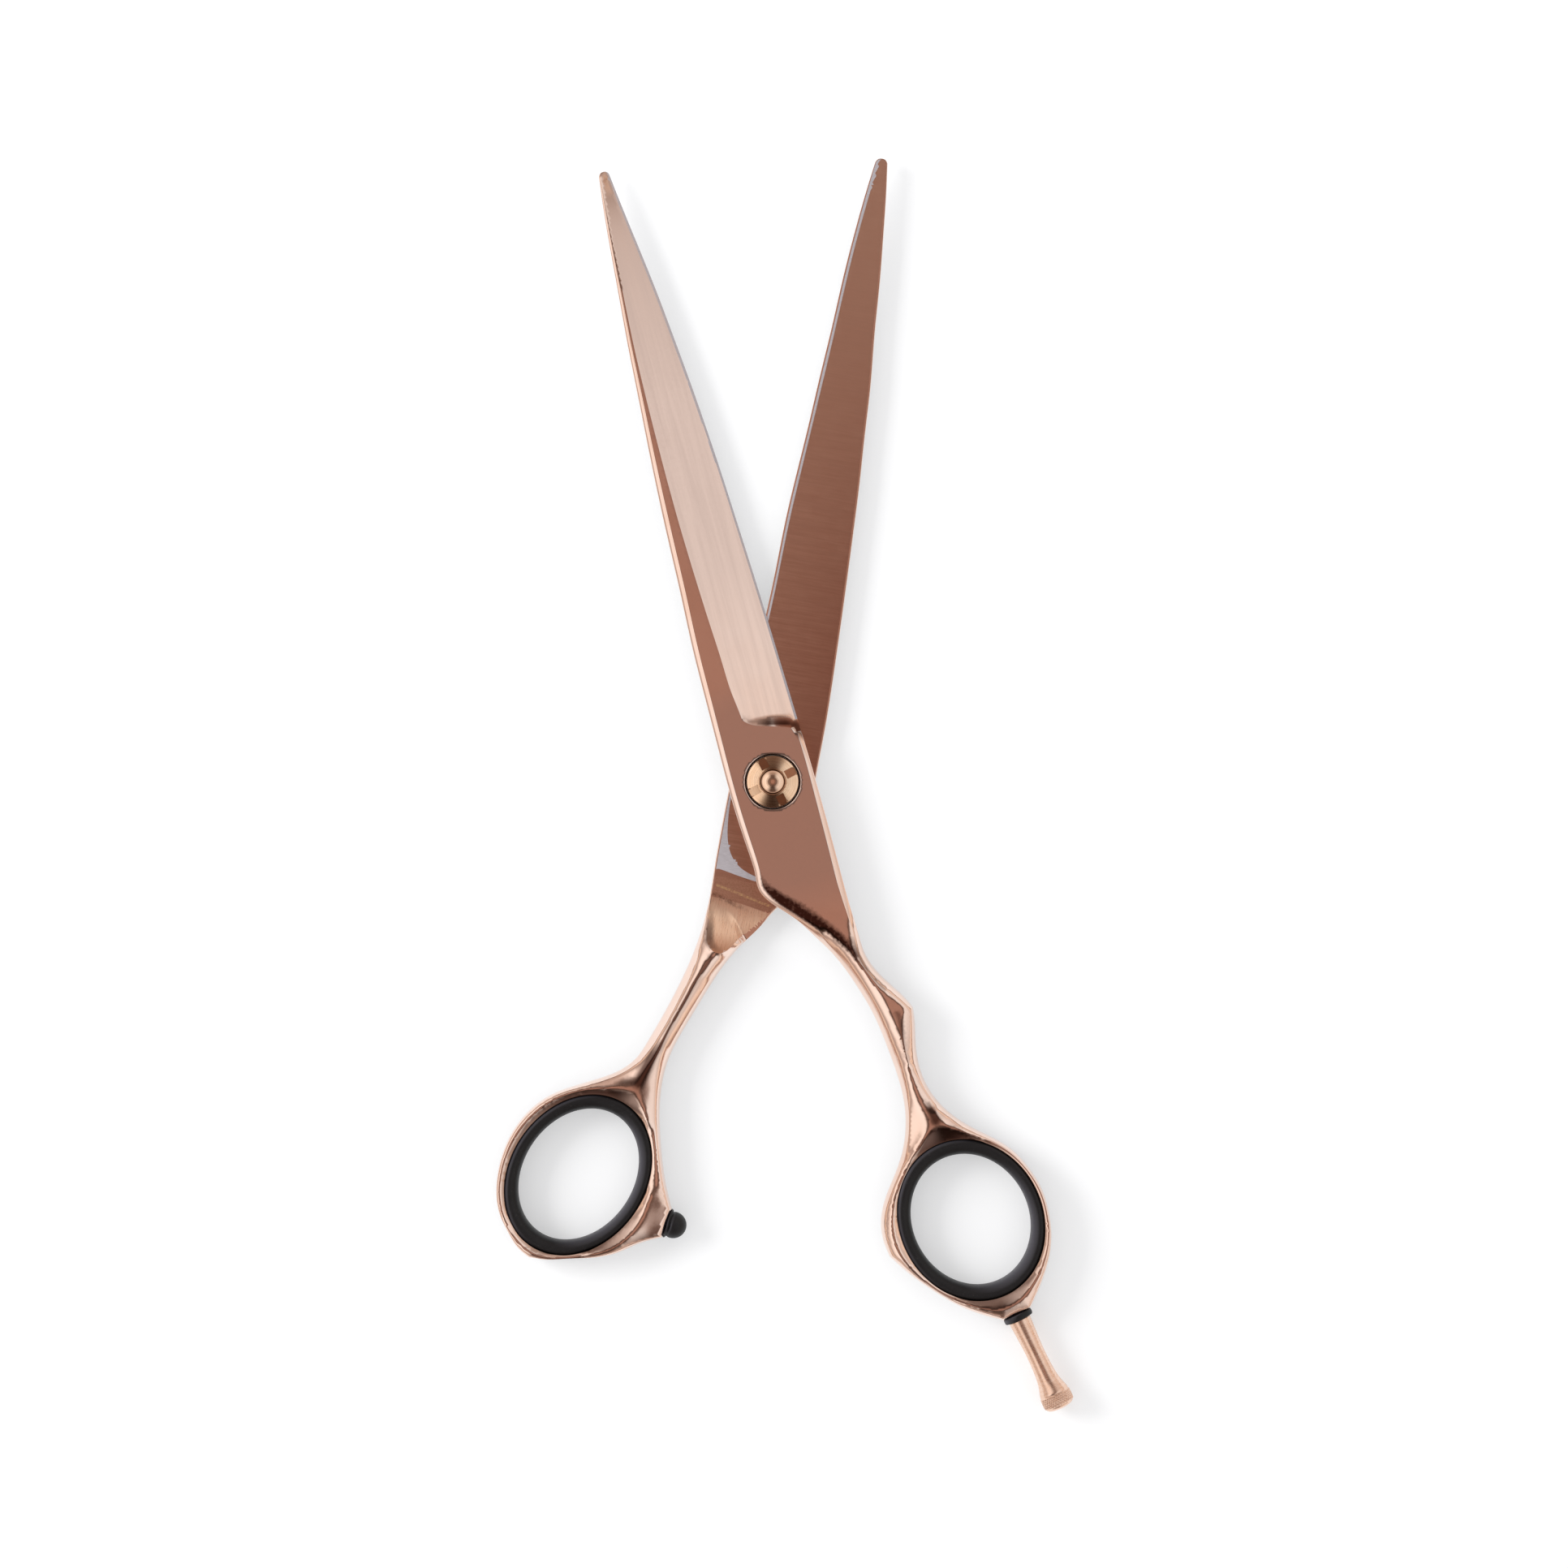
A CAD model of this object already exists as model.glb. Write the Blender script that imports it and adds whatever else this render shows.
import math

import bmesh
import bpy
import numpy as np
from mathutils import Matrix, Vector
from mathutils.geometry import delaunay_2d_cdt
from mathutils.kdtree import KDTree


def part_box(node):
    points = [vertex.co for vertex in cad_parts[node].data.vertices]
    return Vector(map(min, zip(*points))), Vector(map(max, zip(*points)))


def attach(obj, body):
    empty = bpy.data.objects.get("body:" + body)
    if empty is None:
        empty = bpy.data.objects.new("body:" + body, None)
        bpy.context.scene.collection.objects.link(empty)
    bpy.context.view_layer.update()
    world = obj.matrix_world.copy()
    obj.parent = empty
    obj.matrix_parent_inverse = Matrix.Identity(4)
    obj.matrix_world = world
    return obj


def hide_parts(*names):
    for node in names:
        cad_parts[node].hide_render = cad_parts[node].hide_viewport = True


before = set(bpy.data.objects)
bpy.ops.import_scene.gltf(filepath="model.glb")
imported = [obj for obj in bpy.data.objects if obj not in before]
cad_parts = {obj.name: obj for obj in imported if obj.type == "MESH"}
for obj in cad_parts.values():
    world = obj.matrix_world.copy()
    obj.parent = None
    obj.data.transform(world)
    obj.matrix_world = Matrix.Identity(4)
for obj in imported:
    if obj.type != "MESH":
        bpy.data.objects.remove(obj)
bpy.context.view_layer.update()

# Hair cutting shears. Everything below is worked out in millimetres in the CAD frame and written to the meshes in metres.
# The pivot axis is the Z axis, the shears lie on z = 0, the blades point towards +Y.


def plain(b):
    return [[float(c) for c in corner] for corner in b]


def node_box(name):
    lo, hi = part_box(name)
    return np.array(lo) * 1000.0, np.array(hi) * 1000.0


# ---------------------------------------------------------------- heights taken from the CAD nodes
FULL = float(node_box("finger_blade")[1][2])              # 6.6, the thickness of both halves together
NUT_LO, NUT_HI = node_box("tension_nut")
PIVOT = (NUT_LO[:2] + NUT_HI[:2]) / 2.0                   # on the pivot axis
NUT_R = float(NUT_HI[0] - NUT_LO[0]) / 2.0
RIDE = FULL / 2.0
UPPER_PLANE = RIDE + 0.02                                 # inner face of the finger half
LOWER_PLANE = RIDE - 0.02                                 # inner face of the thumb half
F_ANGLE = math.radians(105.46)
T_ANGLE = math.radians(80.04)
TIP = 99.3


def ring_centre(node):
    lo, hi = node_box(node)
    return (lo[:2] + hi[:2]) / 2.0


F_RING = ring_centre("finger_ring_insert")
T_RING = ring_centre("thumb_ring_insert")

F_AX = (np.array([math.cos(F_ANGLE), math.sin(F_ANGLE)]), np.array([-math.sin(F_ANGLE), math.cos(F_ANGLE)]))
T_AX = (np.array([math.cos(T_ANGLE), math.sin(T_ANGLE)]), np.array([math.sin(T_ANGLE), -math.cos(T_ANGLE)]))


def to_xy(ax, su):
    su = np.atleast_2d(np.array(su, float))
    return su[:, :1] * ax[0] + su[:, 1:2] * ax[1]


def to_su(ax, xy):
    xy = np.atleast_2d(np.array(xy, float))
    return np.stack([xy @ ax[0], xy @ ax[1]], 1)


def top_height(s):
    """Outer face of a blade above the ride plane."""
    s = np.asarray(s, float)
    return np.where(s < 12.4, RIDE, RIDE + (1.35 - RIDE) * (s - 12.4) / (TIP - 12.4))


# ---------------------------------------------------------------- curves
def spline(points, step):
    """Natural cubic spline through points, resampled evenly."""
    P = np.array(points, float)
    n = len(P)
    if n == 2:
        k = max(1, int(round(np.linalg.norm(P[1] - P[0]) / step)))
        f = np.linspace(0, 1, k + 1)[:, None]
        return P[0] * (1 - f) + P[1] * f
    t = np.concatenate([[0], np.cumsum(np.linalg.norm(np.diff(P, axis=0), axis=1))])
    h = np.diff(t)
    A = np.zeros((n, n))
    B = np.zeros((n, P.shape[1]))
    A[0, 0] = A[-1, -1] = 1
    for i in range(1, n - 1):
        A[i, i - 1], A[i, i], A[i, i + 1] = h[i - 1], 2 * (h[i - 1] + h[i]), h[i]
        B[i] = 6 * ((P[i + 1] - P[i]) / h[i] - (P[i] - P[i - 1]) / h[i - 1])
    M = np.linalg.solve(A, B)
    out = []
    for i in range(n - 1):
        x = np.linspace(0, h[i], 24, endpoint=(i == n - 2))[:, None]
        a = (h[i] - x)
        out.append(M[i] * a ** 3 / (6 * h[i]) + M[i + 1] * x ** 3 / (6 * h[i]) + (P[i] / h[i] - M[i] * h[i] / 6) * a + (P[i + 1] / h[i] - M[i + 1] * h[i] / 6) * x)
    D = np.concatenate(out)
    L = np.concatenate([[0], np.cumsum(np.linalg.norm(np.diff(D[:, :2], axis=0), axis=1))])
    k = max(2, int(round(L[-1] / step)))
    q = np.linspace(0, L[-1], k + 1)
    return np.stack([np.interp(q, L, D[:, c]) for c in range(D.shape[1])], 1)


def ring_smooth(a, spacing, sigma):
    """Gaussian smoothing round a closed loop."""
    if sigma <= 0:
        return a
    r = int(math.ceil(3 * sigma / spacing))
    k = np.exp(-0.5 * (np.arange(-r, r + 1) * spacing / sigma) ** 2)
    k /= k.sum()
    out = np.zeros_like(a)
    for w, d in zip(k, range(-r, r + 1)):
        out += w * np.roll(a, -d, axis=0)
    return out


def inside(poly, pts):
    """Which points lie in a closed polygon."""
    x, y = pts[:, 0], pts[:, 1]
    res = np.zeros(len(pts), bool)
    px, py = poly[:, 0], poly[:, 1]
    qx, qy = np.roll(px, -1), np.roll(py, -1)
    for a, b, c, d in zip(px, py, qx, qy):
        if b == d:
            continue
        m = (b > y) != (d > y)
        if m.any():
            res[m] ^= x[m] < (c - a) * (y[m] - b) / (d - b) + a
    return res


def ellipse(centre, major, minor, degrees, n=200, start=0.0):
    t = np.arange(n) / n * 2 * math.pi + start
    a = math.radians(degrees)
    x, y = major * np.cos(t), minor * np.sin(t)
    return np.stack([centre[0] + x * math.cos(a) - y * math.sin(a), centre[1] + x * math.sin(a) + y * math.cos(a)], 1)


def smoothstep(x, a, b):
    t = np.clip((np.asarray(x, float) - a) / (b - a), 0, 1)
    return t * t * (3 - 2 * t)


# ---------------------------------------------------------------- surfaces over an outline
class Feature:
    """A line of known height across a surface. soft lines are rounded over afterwards, sharp ones are shaded as a crease."""

    def __init__(self, points, z, sharp=False, soft=False, closed=False, step=0.36, clear=0.0):
        self.clear = clear
        P = np.array(points, float)
        if closed and np.linalg.norm(P[0] - P[-1]) > 1e-6:
            P = np.vstack([P, P[:1]])
        zz = np.full(len(P), float(z)) if np.isscalar(z) else np.array(z, float)
        S = spline(np.column_stack([P, zz]), step)
        self.xy, self.z = S[:, :2], S[:, 2]
        self.sharp, self.soft = sharp, soft


def surface(loop, loop_z, holes, features, h, bump=None, relax=2, relax_mask=None, fixed_fn=None):
    """Fills an outline with triangles that follow the features, and solves the heights between them."""
    cons = [loop] + [c for c, _ in holes]
    zs = [np.asarray(loop_z, float)] + [np.asarray(z, float) for _, z in holes]
    pts, zv, edges = [], [], []
    base = 0
    for c, z in zip(cons, zs):
        n = len(c)
        pts.append(c)
        zv.append(z)
        edges += [(base + i, base + (i + 1) % n) for i in range(n)]
        base += n
    nb = base
    bound = np.concatenate(pts)
    kd = KDTree(len(bound))
    for i, p in enumerate(bound):
        kd.insert((p[0], p[1], 0), i)
    kd.balance()
    ok_region = lambda q: inside(loop, q) & ~np.any([inside(c, q) for c, _ in holes], axis=0) if holes else inside(loop, q)
    sharp_pairs, soft_ids = [], []
    for f in features:
        q = f.xy
        good = ok_region(q)
        good &= np.array([kd.find((p[0], p[1], 0))[2] > 0.24 for p in q])
        prev = -2
        for i in range(len(q)):
            if not good[i]:
                continue
            pts.append(q[i:i + 1])
            zv.append(f.z[i:i + 1])
            if prev == i - 1:
                edges.append((base - 1, base))
                if f.sharp:
                    sharp_pairs.append((base - 1, base))
            if f.soft:
                soft_ids.append(base)
            prev = i
            base += 1
    fixed_n = base
    allc = np.concatenate(pts)
    kd2 = KDTree(len(allc))
    for i, p in enumerate(allc):
        kd2.insert((p[0], p[1], 0), i)
    kd2.balance()
    lo, hi = loop.min(0), loop.max(0)
    gy = np.arange(lo[1], hi[1], h * math.sqrt(3) / 2)
    rows = []
    for j, y in enumerate(gy):
        gx = np.arange(lo[0] + (h / 2 if j % 2 else 0), hi[0], h)
        rows.append(np.stack([gx, np.full(len(gx), y)], 1))
    g = np.concatenate(rows)
    g = g[ok_region(g)]
    g = g[np.array([kd2.find((p[0], p[1], 0))[2] > 0.62 * h for p in g])]
    pts.append(g)
    zv.append(np.zeros(len(g)))
    P = np.concatenate(pts)
    Z = np.concatenate(zv)
    res = delaunay_2d_cdt([Vector((float(p[0]), float(p[1]))) for p in P], edges, [], 0, 1e-6)
    V2 = np.array([(v[0], v[1]) for v in res[0]])
    tri = np.array([f for f in res[2] if len(f) == 3])
    orig = res[3]
    m = len(V2)
    z = np.zeros(m)
    fixed = np.zeros(m, bool)
    soft = np.zeros(m, bool)
    to_out = np.full(len(P), -1)
    softset = set(soft_ids)
    for o, src in enumerate(orig):
        for k in src:
            to_out[k] = o
            if k < fixed_n:
                z[o] = Z[k]
                fixed[o] = True
            if k in softset:
                soft[o] = True
    cen = V2[tri].mean(1)
    tri = tri[ok_region(cen)]
    a, b, c = V2[tri[:, 0]], V2[tri[:, 1]], V2[tri[:, 2]]
    area = 0.5 * ((b - a)[:, 0] * (c - a)[:, 1] - (b - a)[:, 1] * (c - a)[:, 0])
    flip = area < 0
    tri[flip] = tri[flip][:, ::-1]
    tri = tri[np.abs(area) > 1e-9]
    if fixed_fn is not None:
        sel, val = fixed_fn(V2)
        new = sel & ~fixed
        z[new] = val[new]
        fixed |= new
    # cotangent weights
    I, J, W = [], [], []
    va = np.zeros(m)
    for k in range(3):
        i, j, l = tri[:, k], tri[:, (k + 1) % 3], tri[:, (k + 2) % 3]
        e1, e2 = V2[i] - V2[l], V2[j] - V2[l]
        cr = np.abs(e1[:, 0] * e2[:, 1] - e1[:, 1] * e2[:, 0]) + 1e-12
        cot = (e1 * e2).sum(1) / cr
        I.append(i), J.append(j), W.append(0.5 * cot)
        np.add.at(va, i, cr / 6.0)
    I, J, W = np.concatenate(I), np.concatenate(J), np.concatenate(W)
    key = np.minimum(I, J).astype(np.int64) * m + np.maximum(I, J)
    uk, inv = np.unique(key, return_inverse=True)
    w = np.maximum(np.bincount(inv, weights=W), 1e-5)
    ei, ej = (uk // m).astype(int), (uk % m).astype(int)
    diag = np.bincount(ei, weights=w, minlength=m) + np.bincount(ej, weights=w, minlength=m)
    used = diag > 0
    free = used & ~fixed

    def lap(x):
        d = x[ei] - x[ej]
        d = d * w
        return np.bincount(ei, weights=d, minlength=m) - np.bincount(ej, weights=d, minlength=m)

    rhs = np.zeros(m)
    if bump is not None:
        rhs += bump(V2) * va
    x = z.copy()
    x[free] = z[fixed & used].mean()
    r = (rhs - lap(x)) * free
    Mi = np.where(free, 1.0 / np.maximum(diag, 1e-9), 0)
    zz = Mi * r
    p = zz.copy()
    rz = (r * zz).sum()
    r0 = rz
    for it in range(1500):
        Ap = lap(p) * free
        al = rz / max((p * Ap).sum(), 1e-30)
        x += al * p
        r -= al * Ap
        zz = Mi * r
        rn = (r * zz).sum()
        if rn < r0 * 1e-12 or rn < 1e-14:
            break
        p = zz + (rn / rz) * p
        rz = rn
    move = free | soft
    if relax_mask is not None:
        lam = relax_mask(V2)
    else:
        lam = np.ones(m)
    boundary = np.zeros(m, bool)
    boundary[to_out[:nb]] = True
    for _ in range(relax):
        x -= np.where(move & ~boundary, 0.55 * lam * (lap(x) - rhs) / np.maximum(diag, 1e-9), 0)
    keep = np.zeros(m, bool)
    keep[tri.ravel()] = True
    keep[to_out[:nb]] = True
    index = np.cumsum(keep) - 1
    verts = np.column_stack([V2, x])[keep]
    loops, k = [], 0
    for c in cons:
        loops.append(index[to_out[k:k + len(c)]])
        k += len(c)
    pairs = {tuple(sorted((int(index[to_out[a]]), int(index[to_out[b]])))) for a, b in sharp_pairs}
    bad = sum(int(to_out[i] < 0) for i in range(nb))
    dup = nb - len(set(to_out[:nb].tolist()))
    extra = sum(1 for o in orig if not o)
    print("surface: %d verts %d faces, it %d, lost %d, merged %d, crossings %d" % (len(verts), len(tri), it, bad, dup, extra))
    return verts, index[tri], loops, pairs


def keep_clear(f, loop, normal, hole, gap, reach=2.5):
    """Moves a feature line off the rim and off the ring hole, so that its slopes keep a width."""
    kd = KDTree(len(loop))
    for i, p in enumerate(loop):
        kd.insert((p[0], p[1], 0), i)
    kd.balance()
    q = f.xy.copy()
    for _ in range(2):
        for i in range(len(q)):
            _, j, d = kd.find((q[i, 0], q[i, 1], 0))
            if d < reach:
                depth = float((loop[j] - q[i]) @ normal[j])
                if depth < gap:
                    q[i] -= normal[j] * (gap - depth)
        w = q.copy()
        w[1:-1] = 0.5 * q[1:-1] + 0.25 * (q[:-2] + q[2:])
        q = w
    f.xy = q


class Mesh:
    def __init__(self):
        self.v, self.f, self.n = [], [], 0
        self.sharp = set()
        self.tag = []

    def add(self, verts):
        self.v.append(np.asarray(verts, float))
        i = self.n
        self.n += len(verts)
        return i

    def faces(self, faces, tag=0):
        for f in faces:
            self.f.append([int(i) for i in f])
            self.tag.append(tag)

    def strip(self, a, b, tag=0):
        """Quads between two closed index loops of the same length."""
        n = len(a)
        for i in range(n):
            j = (i + 1) % n
            self.f.append([int(a[i]), int(a[j]), int(b[j]), int(b[i])])
            self.tag.append(tag)

    def object(self, name, smooth=True):
        V = np.concatenate(self.v) / 1000.0
        me = bpy.data.meshes.new(name)
        me.from_pydata(V.tolist(), [], self.f)
        me.update()
        ob = bpy.data.objects.new(name, me)
        bpy.context.scene.collection.objects.link(ob)
        at = me.attributes.new("tag", "INT", "FACE")
        at.data.foreach_set("value", np.array(self.tag, np.int32))
        bm = bmesh.new()
        bm.from_mesh(me)
        bmesh.ops.recalc_face_normals(bm, faces=bm.faces)
        bm.to_mesh(me)
        bm.free()
        me.update()
        me.polygons.foreach_set("use_smooth", np.full(len(me.polygons), smooth))
        if self.sharp:
            ev = np.zeros(len(me.edges) * 2, np.int32)
            me.edges.foreach_get("vertices", ev)
            ev = np.sort(ev.reshape(-1, 2), axis=1)
            flags = np.array([(int(a), int(b)) in self.sharp for a, b in ev])
            sh = me.attributes.get("sharp_edge") or me.attributes.new("sharp_edge", "BOOLEAN", "EDGE")
            sh.data.foreach_set("value", flags)
        me.update()
        return ob


# ---------------------------------------------------------------- rim profiles
# A profile is thirteen (inset, height) pairs from the upper face, round the rim, to the lower face.
ROWS = 13


def prof(rows):
    a = np.array(rows, float)
    assert a.shape == (ROWS, 2)
    return a


def bevel_top(width, drop, bottom, foot=0.3):
    """Bevelled above, square below."""
    t = FULL
    return prof([(width + 0.10, t), (width + 0.03, t - 0.004), (width - 0.06, t - 0.06 * drop / width - 0.01), (width * 0.5, t - drop * 0.52), (0.09, t - drop + 0.03),
                 (0.025, t - drop - 0.04), (0.0, t - drop - 0.16), (0.0, (t - drop + bottom) / 2), (0.0, bottom + 0.14), (0.02, bottom + 0.06), (0.07, bottom + 0.015), (0.15, bottom), (foot, bottom)])


def square_top(top, width, drop, foot=0.3):
    """Square above with a fine broken edge, bevelled below at z 0."""
    return prof([(foot, top), (0.17, top), (0.10, top - 0.02), (0.035, top - 0.085), (0.0, top - 0.19), (0.0, (top + drop) / 2), (0.0, drop + 0.16), (0.025, drop + 0.04),
                 (0.09, drop - 0.03), (width * 0.5, drop * 0.48), (width - 0.06, 0.06 * drop / width + 0.01), (width + 0.03, 0.004), (width + 0.10, 0.0)])


def rounded(d_top, z_top, d_bot=None, z_bot=None, start=24.0, power=1.0):
    """Rounded side between an upper and a lower inset."""
    d_bot = d_top if d_bot is None else d_bot
    z_bot = FULL - z_top if z_bot is None else z_bot
    mid = 0.5 * (z_top + z_bot)
    rows = []
    a0 = math.radians(start)
    for k in range(7):
        a = a0 + (math.pi / 2 - a0) * k / 6
        rows.append((d_top * (1 - math.sin(a)) / (1 - math.sin(a0)), mid + (z_top - mid) * (math.cos(a) / math.cos(a0)) ** power))
    for k in range(5, -1, -1):
        a = a0 + (math.pi / 2 - a0) * k / 6
        rows.append((d_bot * (1 - math.sin(a)) / (1 - math.sin(a0)), mid + (z_bot - mid) * (math.cos(a) / math.cos(a0)) ** power))
    return prof(rows)


def finger_spine(s):
    """Blade spine of the finger half at station s: bevel above, square below."""
    w = float(np.interp(s, [0, 44, 63, 75, 95, 99.3], [0.85, 0.78, 0.62, 0.5, 0.3, 0.22]))
    t = RIDE + float(top_height(s))
    d = w * 0.43
    b = UPPER_PLANE
    return prof([(w + 0.10 * min(1, w), t), (w + 0.03 * min(1, w), t - 0.004), (w * 0.93, t - 0.05), (w * 0.5, t - d * 0.5), (w * 0.11, t - d + 0.03),
                 (0.02, t - d - 0.04), (0.0, t - d - 0.12), (0.0, (t - d + b) / 2), (0.0, b + 0.12), (0.015, b + 0.05), (0.05, b + 0.012), (0.1, b), (min(0.3, w * 0.8), b)])


def finger_edge(s):
    k = float(np.interp(s, [0, 90, 99.3], [1.0, 0.8, 0.35]))
    b = UPPER_PLANE
    return prof([(0.60 * k, b + 0.36 * k), (0.47 * k, b + 0.325 * k), (0.37 * k, b + 0.29 * k), (0.32 * k, b + 0.25 * k), (0.17 * k, b + 0.14 * k),
                 (0.06 * k, b + 0.06), (0.015, b + 0.035), (0.0, b + 0.026), (0.0, b + 0.016), (0.008, b + 0.006), (0.05 * k, b + 0.002), (0.1 * k, b), (0.3 * k, b)])


def flip(p):
    """The same profile for the thumb half, whose outer face looks down."""
    return prof([(d, FULL - z) for d, z in p[::-1]])


def build_half(name, ax, chains, stations, hole_c, hole_dims, hole_angle, top_feats, bot_feats, hole_z, extra_top, extra_bot, pivot_rows, h, fixed_top=None, relax=4, fixed_bot=None, bump_top=None, bump_bot=None, relax_mask=None, tagger=None):
    step = 0.36
    parts = []
    for c in chains:
        s = spline(c, step)
        parts.append(s[:-1])
    loop = np.concatenate(parts)
    n = len(loop)
    tang = np.roll(loop, -1, axis=0) - np.roll(loop, 1, axis=0)
    tang /= np.linalg.norm(tang, axis=1)[:, None]
    normal = np.stack([tang[:, 1], -tang[:, 0]], 1)        # outward for a counter-clockwise loop
    normal = ring_smooth(normal, step, 0.3)
    normal /= np.linalg.norm(normal, axis=1)[:, None]
    seg = np.linalg.norm(np.roll(loop, -1, axis=0) - loop, axis=1)
    L = np.concatenate([[0], np.cumsum(seg)])
    total = L[-1]
    rows = []
    for (x, y), p in stations:
        i = int(np.argmin((loop[:, 0] - x) ** 2 + (loop[:, 1] - y) ** 2))
        rows.append((L[i], p))
    rows.sort(key=lambda r: r[0])
    ls = np.array([r[0] for r in rows])
    ps = np.stack([r[1] for r in rows])
    ls = np.concatenate([[ls[-1] - total], ls, [ls[0] + total]])
    ps = np.concatenate([ps[-1:], ps, ps[:1]])
    prof_at = np.zeros((n, ROWS, 2))
    for k in range(ROWS):
        for c in range(2):
            prof_at[:, k, c] = np.interp(L[:-1], ls, ps[:, k, c])
    near = np.hypot(*(loop - to_xy(ax, (7.5, -6.4))[0]).T)
    blend = smoothstep(near, 1.4, 2.4)[:, None, None]
    prof_at = ring_smooth(prof_at, step, 0.55) * blend + ring_smooth(prof_at, step, 0.16) * (1 - blend)
    ring = [np.column_stack([loop - normal * prof_at[:, k, :1], prof_at[:, k, 1]]) for k in range(ROWS)]
    for f in list(top_feats) + list(bot_feats):
        if getattr(f, "clear", 0):
            keep_clear(f, ring[0][:, :2], normal, None, f.clear)
    # ring hole: seat oval above and below, lip between
    c = hole_c
    A, B = hole_dims
    ang = hole_angle
    z_edge_t, z_edge_b = hole_z
    nh = 220
    seat = ellipse(c, A + 0.9, B + 0.9, ang, nh)
    seat_w = ellipse(c, A + 0.9 + 0.12, B + 0.9 + 0.12, ang, nh)
    lip = ellipse(c, A, B, ang, nh)
    # pivot holes
    (pt_xy, pt_z), walls, (pb_xy, pb_z) = pivot_rows
    zt = z_edge_t(seat_w)
    zb = z_edge_b(seat_w)
    tv, tf, tl, tp = surface(ring[0][:, :2], ring[0][:, 2], [(seat_w, zt), (pt_xy, np.full(len(pt_xy), pt_z))], top_feats, h, bump_top, relax, relax_mask, fixed_top)
    bv, bf, bl, bp = surface(ring[-1][:, :2], ring[-1][:, 2], [(seat_w, zb), (pb_xy, np.full(len(pb_xy), pb_z))], bot_feats, h, bump_bot, relax, relax_mask, fixed_bot)
    m = Mesh()
    t0 = m.add(tv)
    b0 = m.add(bv)
    m.faces(tf + t0, 1)
    m.faces(bf[:, ::-1] + b0, 2)
    m.sharp |= {(a + t0, b + t0) for a, b in tp} | {(a + b0, b + b0) for a, b in bp}
    prev = tl[0] + t0
    for k in range(1, ROWS - 1):
        i = m.add(ring[k])
        cur = np.arange(i, i + n)
        m.strip(prev, cur, 3)
        prev = cur
    m.strip(prev, bl[0] + b0, 3)
    prev = tl[1] + t0
    wall = [(seat, zt - 0.10), (seat, zt - 0.3), (seat, np.full(nh, 4.28)), (ellipse(c, A + 0.82, B + 0.82, ang, nh), np.full(nh, 4.2)), (ellipse(c, A + 0.08, B + 0.08, ang, nh), np.full(nh, 4.2)), (lip, np.full(nh, 4.12)),
            (lip, np.full(nh, 2.48)), (ellipse(c, A + 0.08, B + 0.08, ang, nh), np.full(nh, 2.4)), (ellipse(c, A + 0.82, B + 0.82, ang, nh), np.full(nh, 2.4)), (seat, np.full(nh, 2.32)), (seat, zb + 0.3), (seat, zb + 0.10)]
    for xy, z in wall:
        i = m.add(np.column_stack([xy, z]))
        cur = np.arange(i, i + nh)
        m.strip(prev, cur, 4)
        prev = cur
    m.strip(prev, bl[1] + b0, 4)
    prev = tl[2] + t0
    for xy, z in walls:
        i = m.add(np.column_stack([xy, np.full(len(xy), z)]))
        cur = np.arange(i, i + len(xy))
        m.strip(prev, cur, 5)
        prev = cur
    m.strip(prev, bl[2] + b0, 5)
    ob = m.object(name)
    me = ob.data
    co = np.zeros(len(me.vertices) * 3)
    me.vertices.foreach_get("co", co)
    co = co.reshape(-1, 3) * 1000.0
    su = to_su(ax, co[:, :2])
    at = me.attributes.new("su", "FLOAT_VECTOR", "POINT")
    at.data.foreach_set("vector", np.column_stack([su, co[:, 2]]).astype(np.float32).ravel())
    if tagger is not None:
        nf = len(me.polygons)
        cen = np.zeros(nf * 3)
        me.polygons.foreach_get("center", cen)
        cen = cen.reshape(-1, 3) * 1000.0
        tags = np.zeros(nf, np.int32)
        me.attributes["tag"].data.foreach_get("value", tags)
        for key, values in tagger(cen, tags).items():
            a = me.attributes.new(key, "FLOAT", "FACE")
            a.data.foreach_set("value", np.asarray(values, np.float32))
    return ob


# ---------------------------------------------------------------- finger half
F_SPINE = [(8, 6.84), (16, 6.71), (24, 6.52), (32, 6.09), (40, 5.75), (48, 5.35), (56, 4.83), (64, 4.24), (72, 3.66), (80, 2.94), (88, 2.23), (94, 1.6), (98.6, 1.0)]
F_EDGE = [(3.4, -6.5), (9, -6.37), (20, -6.12), (32, -5.79), (40, -5.49), (48, -5.18), (56, -4.76), (64, -4.23), (72, -3.57), (80, -2.83), (88, -1.89), (94, -1.18), (98.7, -0.68)]
F_TIP = [(98.7, -0.68), (99.15, -0.45), (99.3, 0.1), (99.15, 0.65), (98.6, 1.0)]
F_H1 = [(-6.88, -1.12), (-4.33, -9.4), (-3.25, -12.59), (-2.74, -14.5), (-2.23, -16.79), (-1.02, -18.38), (1.15, -19.91), (4.08, -21.89), (6.5, -24.11), (9.17, -26.73), (12.87, -31.57), (15.8, -36.54), (17.96, -41.63), (19.75, -46.73), (20.57, -50.17), (20.83, -53.73), (20.19, -58.57), (18.98, -62.01), (17.58, -65.58), (17.01, -68.25), (16.98, -69.91), (17.45, -72.33), (18.34, -74.5)]
F_H2 = [(18.34, -74.5), (20.89, -76.79), (24.71, -79.59), (28.54, -81.89), (32.36, -83.48), (36.18, -84.5)]
F_H3 = [(36.18, -84.5), (40.46, -82.48)]
F_H4 = [(40.46, -82.48), (41.66, -79.85), (42.74, -77.04), (43.5, -74.11), (43.76, -70.93), (43.31, -67.24), (42.29, -63.92), (40.25, -60.61), (37.2, -57.43), (33.12, -55.13), (29.04, -52.84), (25.99, -50.17), (24.08, -47.36), (22.99, -44.43), (22.48, -40.99), (22.29, -37.17), (22.04, -35.39)]
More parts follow.
